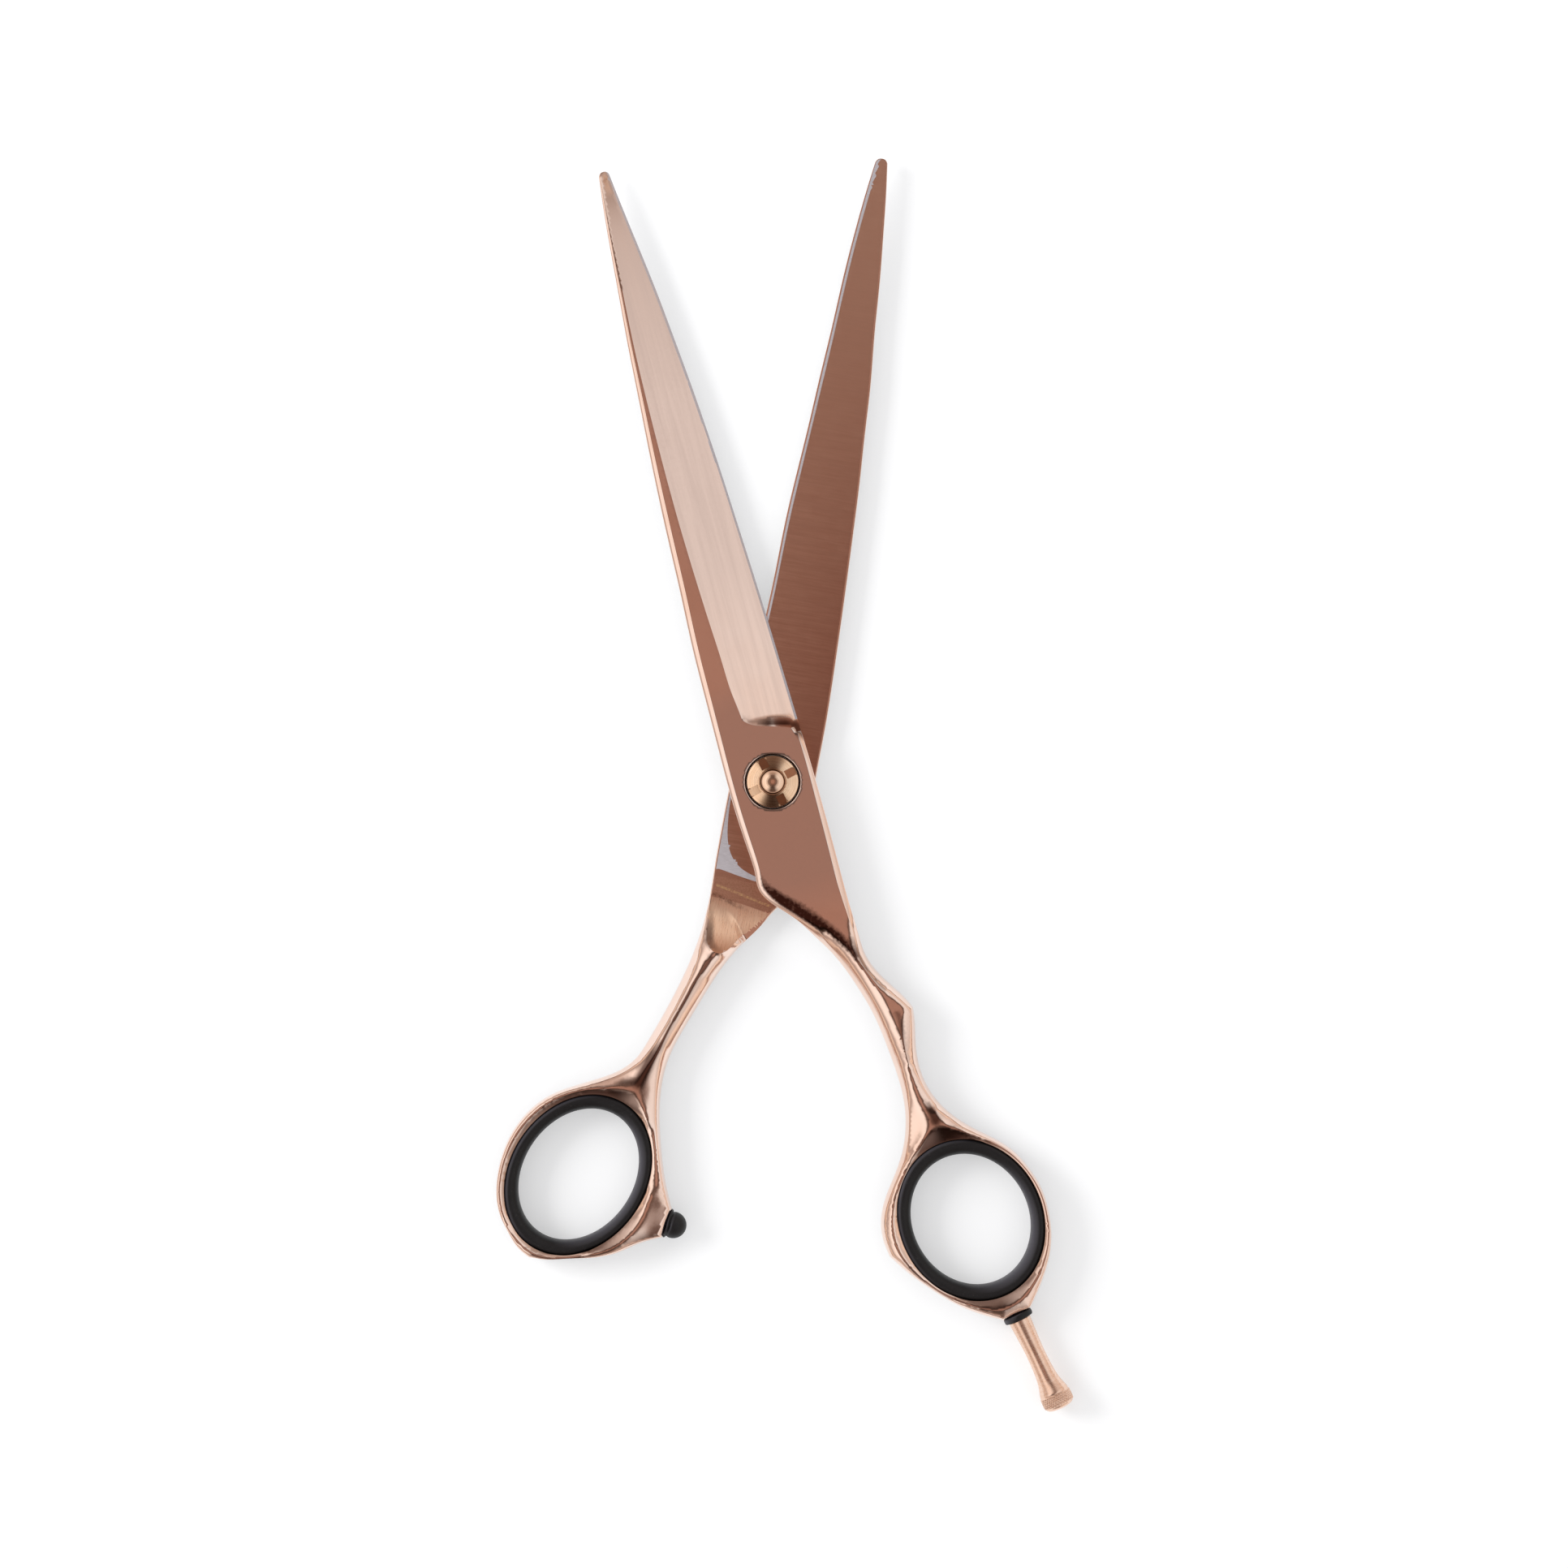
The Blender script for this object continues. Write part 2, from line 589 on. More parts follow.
F_H5 = [(22.04, -35.39), (20.89, -33.99), (18.85, -32.08), (15.8, -29.02), (14.52, -26.98), (13.5, -24.05), (11.97, -18.96), (9.94, -11.44), (7.77, -3.41), (5.86, 3.46)]
f_spine_xy = to_xy(F_AX, F_SPINE)
f_edge_xy = to_xy(F_AX, F_EDGE)
f_tip_xy = to_xy(F_AX, F_TIP)
F_CHAINS = [
    np.vstack([f_spine_xy[::-1], F_H1]),
    F_H2, F_H3, F_H4,
    np.vstack([F_H5[:-1], f_edge_xy]),
    f_tip_xy,
]
F_STATIONS = []
for s in (98.6, 94, 88, 80, 72, 63, 54, 44, 32, 20, 12):
    u = float(np.interp(s, [a for a, _ in F_SPINE], [b for _, b in F_SPINE]))
    F_STATIONS.append((to_xy(F_AX, (s, u))[0], finger_spine(s)))
for s in (8.6, 20, 40, 60, 75, 85, 92, 98.7):
    u = float(np.interp(s, [a for a, _ in F_EDGE], [b for _, b in F_EDGE]))
    F_STATIONS.append((to_xy(F_AX, (s, u))[0], finger_edge(s)))
F_STATIONS += [
    ((-6.88, -1.12), bevel_top(0.85, 0.37, UPPER_PLANE)),
    ((-4.33, -9.4), bevel_top(0.85, 0.37, UPPER_PLANE)),
    ((-2.74, -14.5), bevel_top(0.78, 0.36, UPPER_PLANE)),
    ((-1.02, -18.38), bevel_top(0.95, 0.42, UPPER_PLANE)),
    ((1.15, -19.91), bevel_top(0.72, 0.4, UPPER_PLANE)),
    ((4.08, -21.89), bevel_top(0.8, 0.55, UPPER_PLANE)),
    ((6.5, -24.11), prof(0.75 * bevel_top(1.15, 0.95, 2.9) + 0.25 * rounded(0.9, 6.2, 0.3, 2.9))),
    ((8.4, -25.9), rounded(0.8, 5.75, 0.5, 2.2)),
    ((10.4, -28.0), rounded(0.72, 5.45, 0.6, 1.6)),
    ((12.87, -31.57), rounded(0.72, 5.42)),
    ((20.57, -50.17), rounded(0.72, 5.42)),
    ((20.19, -58.57), rounded(0.66, 5.45)),
    ((17.58, -65.58), rounded(0.6, 5.55)),
    ((17.45, -72.33), rounded(0.5, 5.75)),
    ((18.34, -74.5), rounded(0.45, 5.85)),
    ((24.71, -79.59), rounded(0.42, 5.95)),
    ((32.36, -83.48), rounded(0.45, 5.95)),
    ((36.0, -84.45), rounded(0.4, 6.0, start=30)),
    ((38.32, -83.49), rounded(0.5, 5.9, start=30)),
    ((40.46, -82.48), rounded(0.35, 6.0)),
    ((42.74, -77.04), rounded(0.34, 6.1)),
    ((43.76, -70.93), rounded(0.32, 6.15)),
    ((42.29, -63.92), rounded(0.38, 6.1)),
    ((37.2, -57.43), rounded(0.45, 6.0)),
    ((29.04, -52.84), rounded(0.5, 5.9)),
    ((25.99, -50.17), rounded(0.6, 5.75)),
    ((22.99, -44.43), rounded(0.6, 5.7)),
    ((22.29, -37.6), rounded(0.55, 5.8)),
    ((22.0, -35.39), rounded(0.32, 6.0)),
    ((20.4, -33.5), rounded(0.5, 5.85)),
    ((17.0, -30.2), rounded(0.6, 5.75, 0.6, 0.9)),
    ((14.52, -26.98), rounded(0.6, 5.8, 0.6, 1.2)),
    ((13.5, -24.05), prof(0.5 * bevel_top(0.6, 0.5, UPPER_PLANE) + 0.5 * rounded(0.6, 6.0, 0.4, 2.6))),
    ((12.6, -21.0), bevel_top(0.72, 0.5, UPPER_PLANE)),
    ((11.0, -15.4), bevel_top(0.95, 0.44, UPPER_PLANE)),
    ((7.77, -3.41), bevel_top(0.8, 0.38, UPPER_PLANE)),
    ((5.86, 3.46), bevel_top(0.66, 0.32, UPPER_PLANE)),
    (to_xy(F_AX, (6.5, -6.44))[0], bevel_top(0.62, 0.5, UPPER_PLANE)),
]
F_RIDGE_S = [(10.4, 2.02), (12.5, 2.2), (15, 2.49), (20, 2.66), (25, 2.85), (35, 3.2), (44, 3.36), (54, 3.3), (63, 3.1), (72, 2.74), (80, 2.2), (88, 1.6), (95, 0.98), (98.2, 0.62)]
F_PL0 = [(-4.9, 9.78), (-4.35, 9.35), (-2.9, 8.83), (-1.3, 8.71), (1.63, 8.56), (3.95, 8.2), (4.5, 8.0)]
F_PL1 = [(-4.84, 9.82), (-4.1, 9.86), (-2.8, 10.03), (0.13, 10.47), (2.6, 10.42), (3.75, 10.1)]


def ground_face(ax, ridge, edge, xy, lower, upper):
    """Height of the hollow ground face between the ridge and the cutting edge."""
    su = to_su(ax, xy)
    ur = np.interp(su[:, 0], [a for a, _ in ridge], [b for _, b in ridge])
    ue = np.interp(su[:, 0], [a for a, _ in edge], [b for _, b in edge])
    f = np.clip((su[:, 1] - ue) / (ur - ue), 0, 1)
    return lower + (upper - lower) * f ** 1.12


f_ridge_xy = to_xy(F_AX, F_RIDGE_S)
f_ridge_z = RIDE + top_height([a for a, _ in F_RIDGE_S])
F_RIDGE_L = [(5.0, -21.75), (6.9, -22.95), (9.81, -24.94), (12.27, -27.07), (14.22, -29.18), (16.48, -32.27), (18.28, -35.36), (19.41, -37.96), (20.71, -42.01), (21.4, -44.43), (22.5, -48.0), (23.57, -51.18), (24.52, -54.5)]
F_RIDGE_R = [(12.0, -21.6), (12.42, -23.2), (13.07, -25.77), (14.14, -28.51), (16.17, -31.3), (18.76, -33.25), (21.02, -34.95), (20.51, -36.54), (20.55, -39.59), (20.88, -42.83), (21.4, -44.43)]
F_VALLEY = [(17.6, -33.0), (18.4, -34.1), (19.1, -35.4), (19.7, -37.0), (20.0, -39.0), (20.4, -41.4)]
F_RIDGE_2 = [(22.0, -43.2), (22.9, -45.2), (23.8, -47.2), (25.2, -50.2), (27.01, -53.73)]
F_ORANGE = [(7.6, -23.9), (10.45, -26.42), (13.07, -30.29), (15.52, -34.55), (17.13, -38.11), (19.41, -42.99), (20.62, -46.73), (21.66, -49.53), (22.55, -52.46), (22.6, -55.26), (21.33, -58.7), (18.93, -64.4), (18.0, -68.0)]
F_CREST = [(27.01, -53.73), (30.57, -54.75), (34.78, -56.61), (38.43, -59.21), (41.02, -62.59), (42.68, -65.96), (43.06, -70.13), (42.56, -74.37), (41.2, -77.9), (39.6, -80.3), (37.4, -82.21), (34.78, -82.9), (32.23, -82.52), (29.55, -81.37), (27.13, -80.1), (24.65, -78.56), (22.68, -77.04), (20.96, -75.38), (19.94, -73.73), (19.14, -71.69), (18.85, -68.31), (19.36, -64.94), (20.7, -61.25), (22.55, -57.68), (23.57, -55.9), (24.52, -54.5)]
f_top = [
    Feature(f_ridge_xy, f_ridge_z, sharp=True),
    Feature(F_PL0, 6.6, sharp=True),
    Feature(F_PL1, ground_face(F_AX, F_RIDGE_S, F_EDGE, F_PL1, UPPER_PLANE + 0.36, FULL)),
    Feature(F_RIDGE_L[:10], 6.6, soft=True, clear=0.32),
    Feature(F_RIDGE_L[9:], [6.55, 6.26, 6.36, 6.55], soft=True),
    Feature(F_RIDGE_R, [6.6, 6.6, 6.6, 6.6, 6.6, 6.58, 6.5, 6.55, 6.58, 6.6, 6.6], soft=True, clear=0.3),
    Feature(F_VALLEY, [6.56, 6.5, 6.45, 6.45, 6.5, 6.55], soft=True),
    Feature(F_RIDGE_2, [6.55, 6.6, 6.6, 6.55, 6.55], soft=True),
    Feature(F_ORANGE, [6.15, 6.02, 5.98, 5.98, 5.98, 5.98, 5.98, 5.92, 5.85, 5.8, 5.78, 5.78, 5.8], soft=True, clear=0.3),
    Feature(F_CREST, [6.55] + [6.6] * 24 + [6.55], soft=True, clear=0.5),
    Feature([(24.52, -54.5), (25.6, -54.05), (27.01, -53.73)], 6.5, soft=True),
]

# scoop under the finger half and over the thumb half, in blade coordinates so that one serves both
SCOOP_P0 = to_su(T_AX, (-6.0, -18.9))[0]
SCOOP_DIR = to_su(T_AX, (-0.285, -0.958))[0]
SPECKLE = to_su(T_AX, [(-9.94, -17.94), (-7.52, -18.45), (-4.08, -19.46), (-0.51, -20.74)])
SCOOP_U = to_su(T_AX, [(-9.95, -21.9), (-10.2, -23.4), (-10.25, -25.1), (-9.45, -26.45), (-8.13, -26.85), (-6.75, -26.1), (-5.6, -24.9), (-4.6, -23.95)])
SCOOP_UZ = [4.2, 4.86, 5.62, 6.2, 6.38, 5.88, 5.0, 4.3]
SCOOP_R = 12.6
CREASE_A = to_su(T_AX, [(-8.9, -16.38), (-7.0, -17.1), (-3.44, -18.55), (-0.6, -19.68)])
CREASE_B = to_su(T_AX, [(-8.8, -16.02), (-6.9, -16.72), (-3.34, -18.17), (-0.5, -19.3)])


def bowl(su):
    su = np.atleast_2d(su)
    v = np.clip((su - SCOOP_P0) @ SCOOP_DIR, 0, 9.0)
    return LOWER_PLANE + SCOOP_R - np.sqrt(SCOOP_R ** 2 - v ** 2)


SCOOP_POLY = np.vstack([to_su(T_AX, [(1.5, -20.4), (-0.51, -20.74)]), SPECKLE[::-1][1:], to_su(T_AX, [(-9.9, -18.4), (-10.3, -20.6)]), SCOOP_U, to_su(T_AX, [(-3.0, -22.9), (-0.7, -20.9)])])


def scoop_features(ax, mirror):
    def zz(z):
        return FULL - np.asarray(z) if mirror else np.asarray(z)
    return [
        Feature(to_xy(ax, SPECKLE), zz(np.full(len(SPECKLE), LOWER_PLANE)), sharp=False),
        Feature(to_xy(ax, CREASE_A), zz(np.full(len(CREASE_A), LOWER_PLANE))),
        Feature(to_xy(ax, CREASE_B), zz(np.full(len(CREASE_B), LOWER_PLANE))),
        Feature(to_xy(ax, SCOOP_U), zz(SCOOP_UZ), sharp=True),
    ]


def scoop_bump(ax, mirror):
    """Hollows the scoop between its rim and its start."""
    poly = to_xy(ax, SCOOP_POLY)

    def fn(V2):
        k = np.where(inside(poly, V2), -0.13, 0.0)
        return -k if mirror else k
    return fn


def circle(r, n, start=0.0):
    t = np.arange(n) / n * 2 * math.pi + start
    return np.stack([PIVOT[0] + r * np.cos(t), PIVOT[1] + r * np.sin(t)], 1)


NP = 144
f_pivot = (
    (circle(4.41, NP), FULL),
    [(circle(4.385, NP), FULL - 0.015), (circle(4.36, NP), FULL - 0.06), (circle(4.35, NP), FULL - 0.16), (circle(4.35, NP), 4.62), (circle(4.27, NP), 4.5), (circle(2.85, NP), 4.5), (circle(2.76, NP), 4.44), (circle(2.76, NP), UPPER_PLANE + 0.05)],
    (circle(2.80, NP), UPPER_PLANE),
)


def mirror_z(feats):
    out = []
    for f in feats:
        g = Feature.__new__(Feature)
        g.xy, g.z, g.sharp, g.soft, g.clear = f.xy, FULL - f.z, f.sharp, f.soft, f.clear
        out.append(g)
    return out


f_bot = scoop_features(F_AX, True) + mirror_z([
    Feature(F_RIDGE_L[4:], [6.3, 6.5, 6.6, 6.6, 6.6, 6.6, 6.58, 6.5, 6.5], soft=True),
    Feature([(17.0, -31.6), (18.76, -33.6), (20.4, -35.6), (20.55, -39.59), (20.88, -42.83)], [6.3, 6.4, 6.4, 6.5, 6.55], soft=True),
    Feature(F_RIDGE_2, [6.5, 6.5, 6.48, 6.45, 6.5], soft=True),
    Feature(F_ORANGE[3:], [5.9, 5.9, 5.9, 5.9, 5.85, 5.8, 5.75, 5.75, 5.75, 5.8], soft=True),
    Feature(F_CREST, [6.55] + [6.6] * 24 + [6.55], soft=True, clear=0.5),
])


def handle_mask(limit):
    def fn(V2):
        return smoothstep(-V2[:, 1], limit, limit + 4)
    return fn


RICASSO = np.vstack([F_PL0, to_xy(F_AX, [(6.5, -6.5), (-2, -6.5), (-9, -6.5), (-9, 6.5), (8, 6.5)])])


def flat_top(V2):
    return inside(RICASSO, V2) & (np.hypot(V2[:, 0] - PIVOT[0], V2[:, 1] - PIVOT[1]) > 4.3), np.full(len(V2), FULL)


finger_half = build_half(
    "finger_half_forging", F_AX, F_CHAINS, F_STATIONS, F_RING, (12.0, 10.3), 116.0, f_top, f_bot,
    (lambda q: 5.78 + 0 * q[:, 0], lambda q: 0.82 + 0 * q[:, 0]), None, None, f_pivot, 0.42,
    fixed_top=flat_top, bump_bot=scoop_bump(F_AX, True), relax_mask=handle_mask(20.0),
)

# ---------------------------------------------------------------- thumb half
T_SPINE = [(8, 6.69), (16, 6.62), (24, 6.39), (32, 6.11), (40, 5.78), (48, 5.41), (56, 4.89), (64, 4.41), (72, 3.65), (80, 3.05), (88, 2.27), (94, 1.62), (98.7, 0.98)]
T_EDGE = [(3.6, -6.45), (12, -6.25), (22, -5.8), (32, -5.33), (40, -5.15), (48, -4.71), (56, -4.16), (64, -3.71), (72, -3.2), (80, -2.79), (88, -2.17), (94, -1.55), (98.6, -0.95)]
T_TIP = [(98.7, 0.98), (99.2, 0.6), (99.3, -0.1), (99.1, -0.65), (98.6, -0.95)]
T_H1 = [(-5.73, 4.48), (-7.13, -2.39), (-8.28, -8.51), (-9.17, -13.61), (-10.0, -18.7), (-10.83, -22.01), (-12.23, -26.22), (-14.52, -31.44), (-17.2, -36.54), (-19.49, -40.48), (-21.4, -43.29), (-23.69, -45.07), (-27.52, -46.6), (-31.34, -47.75), (-35.16, -49.27), (-38.22, -51.57), (-40.51, -54.37), (-42.17, -57.68), (-43.18, -61.5), (-43.38, -64.82), (-42.8, -68.0), (-41.53, -70.68), (-40.0, -73.1), (-38.22, -74.62)]
T_H2 = [(-38.22, -74.62), (-35.67, -74.94), (-32.1, -74.82), (-27.64, -74.62), (-24.2, -73.86), (-20.89, -72.46), (-17.32, -71.5)]
T_H3 = [(-17.32, -71.5), (-15.8, -66.98)]
T_H4 = [(-15.8, -66.98), (-16.62, -63.67), (-17.2, -60.1), (-17.58, -55.9), (-17.71, -52.08), (-17.32, -47.36), (-16.31, -43.54), (-14.14, -39.21), (-11.08, -34.11), (-7.77, -29.02), (-4.71, -25.45), (-1.53, -22.27), (0.76, -19.78), (2.29, -18.57), (3.57, -16.41), (4.18, -14.18), (5.35, -8.51), (6.75, 0.15)]
t_spine_xy = to_xy(T_AX, T_SPINE)
t_edge_xy = to_xy(T_AX, T_EDGE)
T_CHAINS = [
    np.vstack([t_edge_xy[::-1][:-1], T_H1]),
    T_H2, T_H3,
    np.vstack([T_H4, t_spine_xy]),
    to_xy(T_AX, T_TIP),
]
T_STATIONS = []
for s in (98.7, 94, 88, 80, 72, 63, 54, 44, 32, 20, 12):
    u = float(np.interp(s, [a for a, _ in T_SPINE], [b for _, b in T_SPINE]))
    T_STATIONS.append((to_xy(T_AX, (s, u))[0], flip(finger_spine(s))))
for s in (8.6, 20, 40, 60, 75, 85, 92, 98.6):
    u = float(np.interp(s, [a for a, _ in T_EDGE], [b for _, b in T_EDGE]))
    T_STATIONS.append((to_xy(T_AX, (s, u))[0], flip(finger_edge(s))))
SQ = lambda w, d: square_top(LOWER_PLANE, w, d)
T_STATIONS += [
    (to_xy(T_AX, (6.5, -6.4))[0], SQ(0.62, 0.5)),
    ((-7.13, -2.39), SQ(0.7, 0.5)),
    ((-9.17, -13.61), SQ(0.8, 0.5)),
    ((-9.95, -18.4), SQ(0.7, 0.5)),
    ((-10.5, -20.9), prof([(0.3, 3.75), (0.2, 3.73), (0.12, 3.68), (0.04, 3.6), (0.0, 3.45), (0.0, 2.2), (0.0, 1.3), (0.03, 1.1), (0.1, 0.9), (0.3, 0.65), (0.5, 0.45), (0.6, 0.36), (0.66, 0.3)])),
    ((-11.0, -22.7), rounded(0.45, 4.75, 0.6, 1.0)),
    ((-12.23, -26.22), rounded(0.7, 5.45)),
    ((-14.52, -31.44), rounded(0.72, 5.45)),
    ((-19.49, -40.48), rounded(0.72, 5.45)),
    ((-23.69, -45.07), rounded(0.55, 5.7)),
    ((-31.34, -47.75), rounded(0.32, 6.05)),
    ((-38.22, -51.57), rounded(0.3, 6.1)),
    ((-42.17, -57.68), rounded(0.26, 6.15)),
    ((-43.38, -64.82), rounded(0.24, 6.2)),
    ((-41.53, -70.68), rounded(0.28, 6.15)),
    ((-38.22, -74.62), rounded(0.32, 6.1)),
    ((-35.67, -74.94), rounded(0.22, 6.25)),
    ((-32.1, -74.82), rounded(0.2, 6.3)),
    ((-27.64, -74.62), rounded(0.26, 6.2)),
    ((-22.5, -73.2), rounded(0.42, 6.0)),
    ((-17.6, -71.55), rounded(0.4, 5.95)),
    ((-16.56, -69.24), rounded(0.5, 5.85, start=30)),
    ((-15.9, -67.1), rounded(0.4, 5.9)),
    ((-17.2, -60.1), rounded(0.45, 5.8)),
    ((-17.71, -52.08), rounded(0.5, 5.75)),
    ((-16.31, -43.54), rounded(0.65, 5.5)),
    ((-11.08, -34.11), rounded(0.72, 5.45)),
    ((-7.77, -29.02), rounded(0.7, 5.45)),
    ((-6.2, -27.0), rounded(0.6, 5.3)),
    ((-4.71, -25.45), rounded(0.34, 4.85, 0.6, 1.2)),
    ((-3.1, -23.8), prof([(0.3, 3.95), (0.2, 3.93), (0.12, 3.88), (0.04, 3.78), (0.0, 3.6), (0.0, 2.3), (0.0, 1.3), (0.03, 1.1), (0.1, 0.9), (0.3, 0.65), (0.5, 0.45), (0.6, 0.36), (0.66, 0.3)])),
    ((-0.8, -21.5), SQ(0.7, 0.55)),
    ((1.5, -19.2), SQ(0.7, 0.55)),
    ((4.18, -14.18), SQ(0.85, 0.5)),
    ((6.75, 0.15), SQ(0.85, 0.5)),
]
T_C = [(-9.6, -27.45), (-11.67, -30.62), (-13.72, -34.37), (-15.77, -37.96), (-17.99, -42.22), (-19.69, -44.93), (-20.89, -47.2), (-21.4, -48.71)]
T_L = [(-11.5, -26.6), (-12.4, -28.6), (-14.41, -32.53), (-16.79, -36.96), (-19.01, -41.0), (-20.74, -43.9), (-22.55, -45.62), (-24.84, -46.67)]
T_R = [(-8.3, -27.5), (-9.29, -29.43), (-10.99, -32.33), (-13.04, -35.73), (-15.08, -39.15), (-16.89, -42.5), (-18.03, -45.83), (-18.45, -48.9), (-18.6, -52.46), (-18.5, -56.41), (-18.3, -60.74), (-17.9, -63.8), (-17.4, -66.3)]
T_CREST = [(-21.4, -48.71), (-23.44, -48.04), (-25.86, -47.95), (-29.04, -48.1), (-32.17, -48.8), (-34.9, -50.0), (-37.45, -51.67), (-39.36, -53.5), (-40.64, -55.23), (-41.66, -57.3), (-42.29, -59.34), (-42.6, -61.25), (-42.7, -63.16), (-42.65, -64.82), (-42.3, -66.34), (-41.6, -68.3), (-40.66, -70.2), (-39.49, -72.0), (-37.83, -73.6), (-35.9, -74.4), (-32.1, -74.45), (-27.95, -74.15), (-25.22, -73.44), (-23.06, -71.72), (-21.02, -69.15), (-19.95, -66.09), (-19.3, -62.78), (-19.1, -58.96), (-19.5, -54.75), (-20.48, -50.93), (-21.4, -48.71)]
HONE_IN = [(-6.0, 1.0), (-6.3, -1.25), (-6.7, -3.5), (-7.0, -6.09), (-7.05, -9.02), (-6.45, -11.57), (-4.91, -13.61), (-3.06, -14.72), (-0.89, -15.49), (1.02, -15.9), (3.4, -16.3)]
HONE_OUT = [(-9.3, -13.4), (-7.6, -13.95), (-5.99, -14.55), (-2.55, -15.7), (1.02, -16.66), (3.4, -17.2)]
t_handle = [
    Feature(T_C, [6.5] + [6.6] * 7, soft=True),
    Feature(T_L, [6.04] * 6 + [6.04, 6.1], soft=True, clear=0.28),
    Feature(T_R, [6.1] * 6 + [6.05, 6.05, 6.05, 6.05, 6.1, 6.15, 6.2], soft=True),
    Feature(T_CREST, 6.6, soft=True, clear=0.5),
]
hone_su = [(s, float(np.interp(s, [a for a, _ in T_EDGE], [b for _, b in T_EDGE])) + 0.62) for s in (4.5, 9, 15, 22, 30, 40, 50, 60, 70, 80, 88, 94)]
t_top = scoop_features(T_AX, False) + t_handle + [
    Feature(to_xy(T_AX, hone_su), LOWER_PLANE),
    Feature(HONE_IN, LOWER_PLANE, step=0.25),
    Feature(HONE_OUT, LOWER_PLANE, step=0.3),
]

HONE = np.vstack([[(-5.4, 4.0), (-5.75, 2.0)], HONE_IN, [(4.4, -17.4)], HONE_OUT[::-1], [(-10.2, -13.2), (-9.3, -8.0), (-8.2, -3.0), (-6.9, 4.0)]])
T_RIDGE_S = [(10.4, 2.02), (12.5, 2.2), (15, 2.49), (20, 2.66), (25, 2.85), (35, 3.2), (44, 3.34), (54, 3.13), (63, 2.9), (72, 2.6), (80, 2.1), (88, 1.5), (95, 0.85), (98.2, 0.4)]
t_ridge_xy = to_xy(T_AX, T_RIDGE_S)
t_ridge_z = RIDE - top_height([a for a, _ in T_RIDGE_S])
pl0 = to_xy(T_AX, to_su(F_AX, F_PL0))
pl1 = to_xy(T_AX, to_su(F_AX, F_PL1))
t_bot = [
    Feature(t_ridge_xy, t_ridge_z, sharp=True),
    Feature(pl0, 0.0, sharp=True),
    Feature(pl1, FULL - ground_face(F_AX, F_RIDGE_S, F_EDGE, F_PL1, UPPER_PLANE + 0.36, FULL)),
    Feature([(-8.9, -19.0), (-9.6, -22.5), (-11.0, -26.5), (-12.6, -30.3)], [0.0, 0.05, 0.25, 0.5], soft=True),
    Feature([(0.2, -18.9), (-2.4, -21.9), (-5.6, -25.2), (-8.6, -29.0)], [0.0, 0.05, 0.25, 0.5], soft=True),
] + mirror_z([
    Feature(T_C[1:], 6.6, soft=True),
    Feature(T_L[2:], [6.0] * 4 + [6.0, 6.1], soft=True),
    Feature(T_R[2:], [6.1] * 4 + [6.05, 6.05, 6.05, 6.05, 6.1, 6.15, 6.2], soft=True),
    Feature(T_CREST, 6.6, soft=True, clear=0.5),
])


def keyed(r, flat, n):
    """A circle with two flats that lie across the blade."""
    t = np.arange(n) / n * 2 * math.pi
    x, y = r * np.cos(t), r * np.sin(t)
    x = np.clip(x, -flat, flat)
    a = T_ANGLE
    return np.stack([PIVOT[0] + x * math.cos(a) - y * math.sin(a), PIVOT[1] + x * math.sin(a) + y * math.cos(a)], 1)


t_pivot = (
    (circle(2.04, NP, T_ANGLE), LOWER_PLANE),
    [(circle(2.0, NP, T_ANGLE), LOWER_PLANE - 0.05), (circle(2.0, NP, T_ANGLE), 1.24), (circle(2.05, NP, T_ANGLE), 1.2), (keyed(3.6, 3.05, NP), 1.2), (keyed(3.73, 3.13, NP), 1.15), (keyed(3.73, 3.13, NP), 0.12)],
    (keyed(3.83, 3.23, NP), 0.0),
)
def t_tagger(cen, tags):
    su = to_su(T_AX, cen[:, :2])
    ue = np.interp(su[:, 0], [a for a, _ in T_EDGE], [b for _, b in T_EDGE])
    top = tags == 1
    plane = top & (np.abs(cen[:, 2] - LOWER_PLANE) < 0.03)
    hone = (plane & inside(HONE, cen[:, :2])) | (plane & (su[:, 0] > 3) & (su[:, 1] < ue + 0.62))
    dist = (su - SCOOP_P0) @ SCOOP_DIR
    scoop = top & (dist > 0) & (cen[:, 2] < 6.3) & inside(to_xy(T_AX, SCOOP_POLY), cen[:, :2])
    satin = plane & ~hone & (dist < 0.05)
    d1 = (su - SCOOP_P0) @ SCOOP_DIR
    crease = plane & inside(np.vstack([to_xy(T_AX, CREASE_A), to_xy(T_AX, CREASE_B)[::-1]]), cen[:, :2])
    return {"hone": hone, "satin": satin, "scoop": scoop, "crease": crease}


thumb_half = build_half(
    "thumb_half_forging", T_AX, T_CHAINS, T_STATIONS, T_RING, (12.4, 9.7), 55.5, t_top, t_bot,
    (lambda q: 5.8 + 0 * q[:, 0], lambda q: 0.8 + 0 * q[:, 0]), None, None, t_pivot, 0.42,
    bump_top=scoop_bump(T_AX, False), relax_mask=handle_mask(22.0), tagger=t_tagger,
)


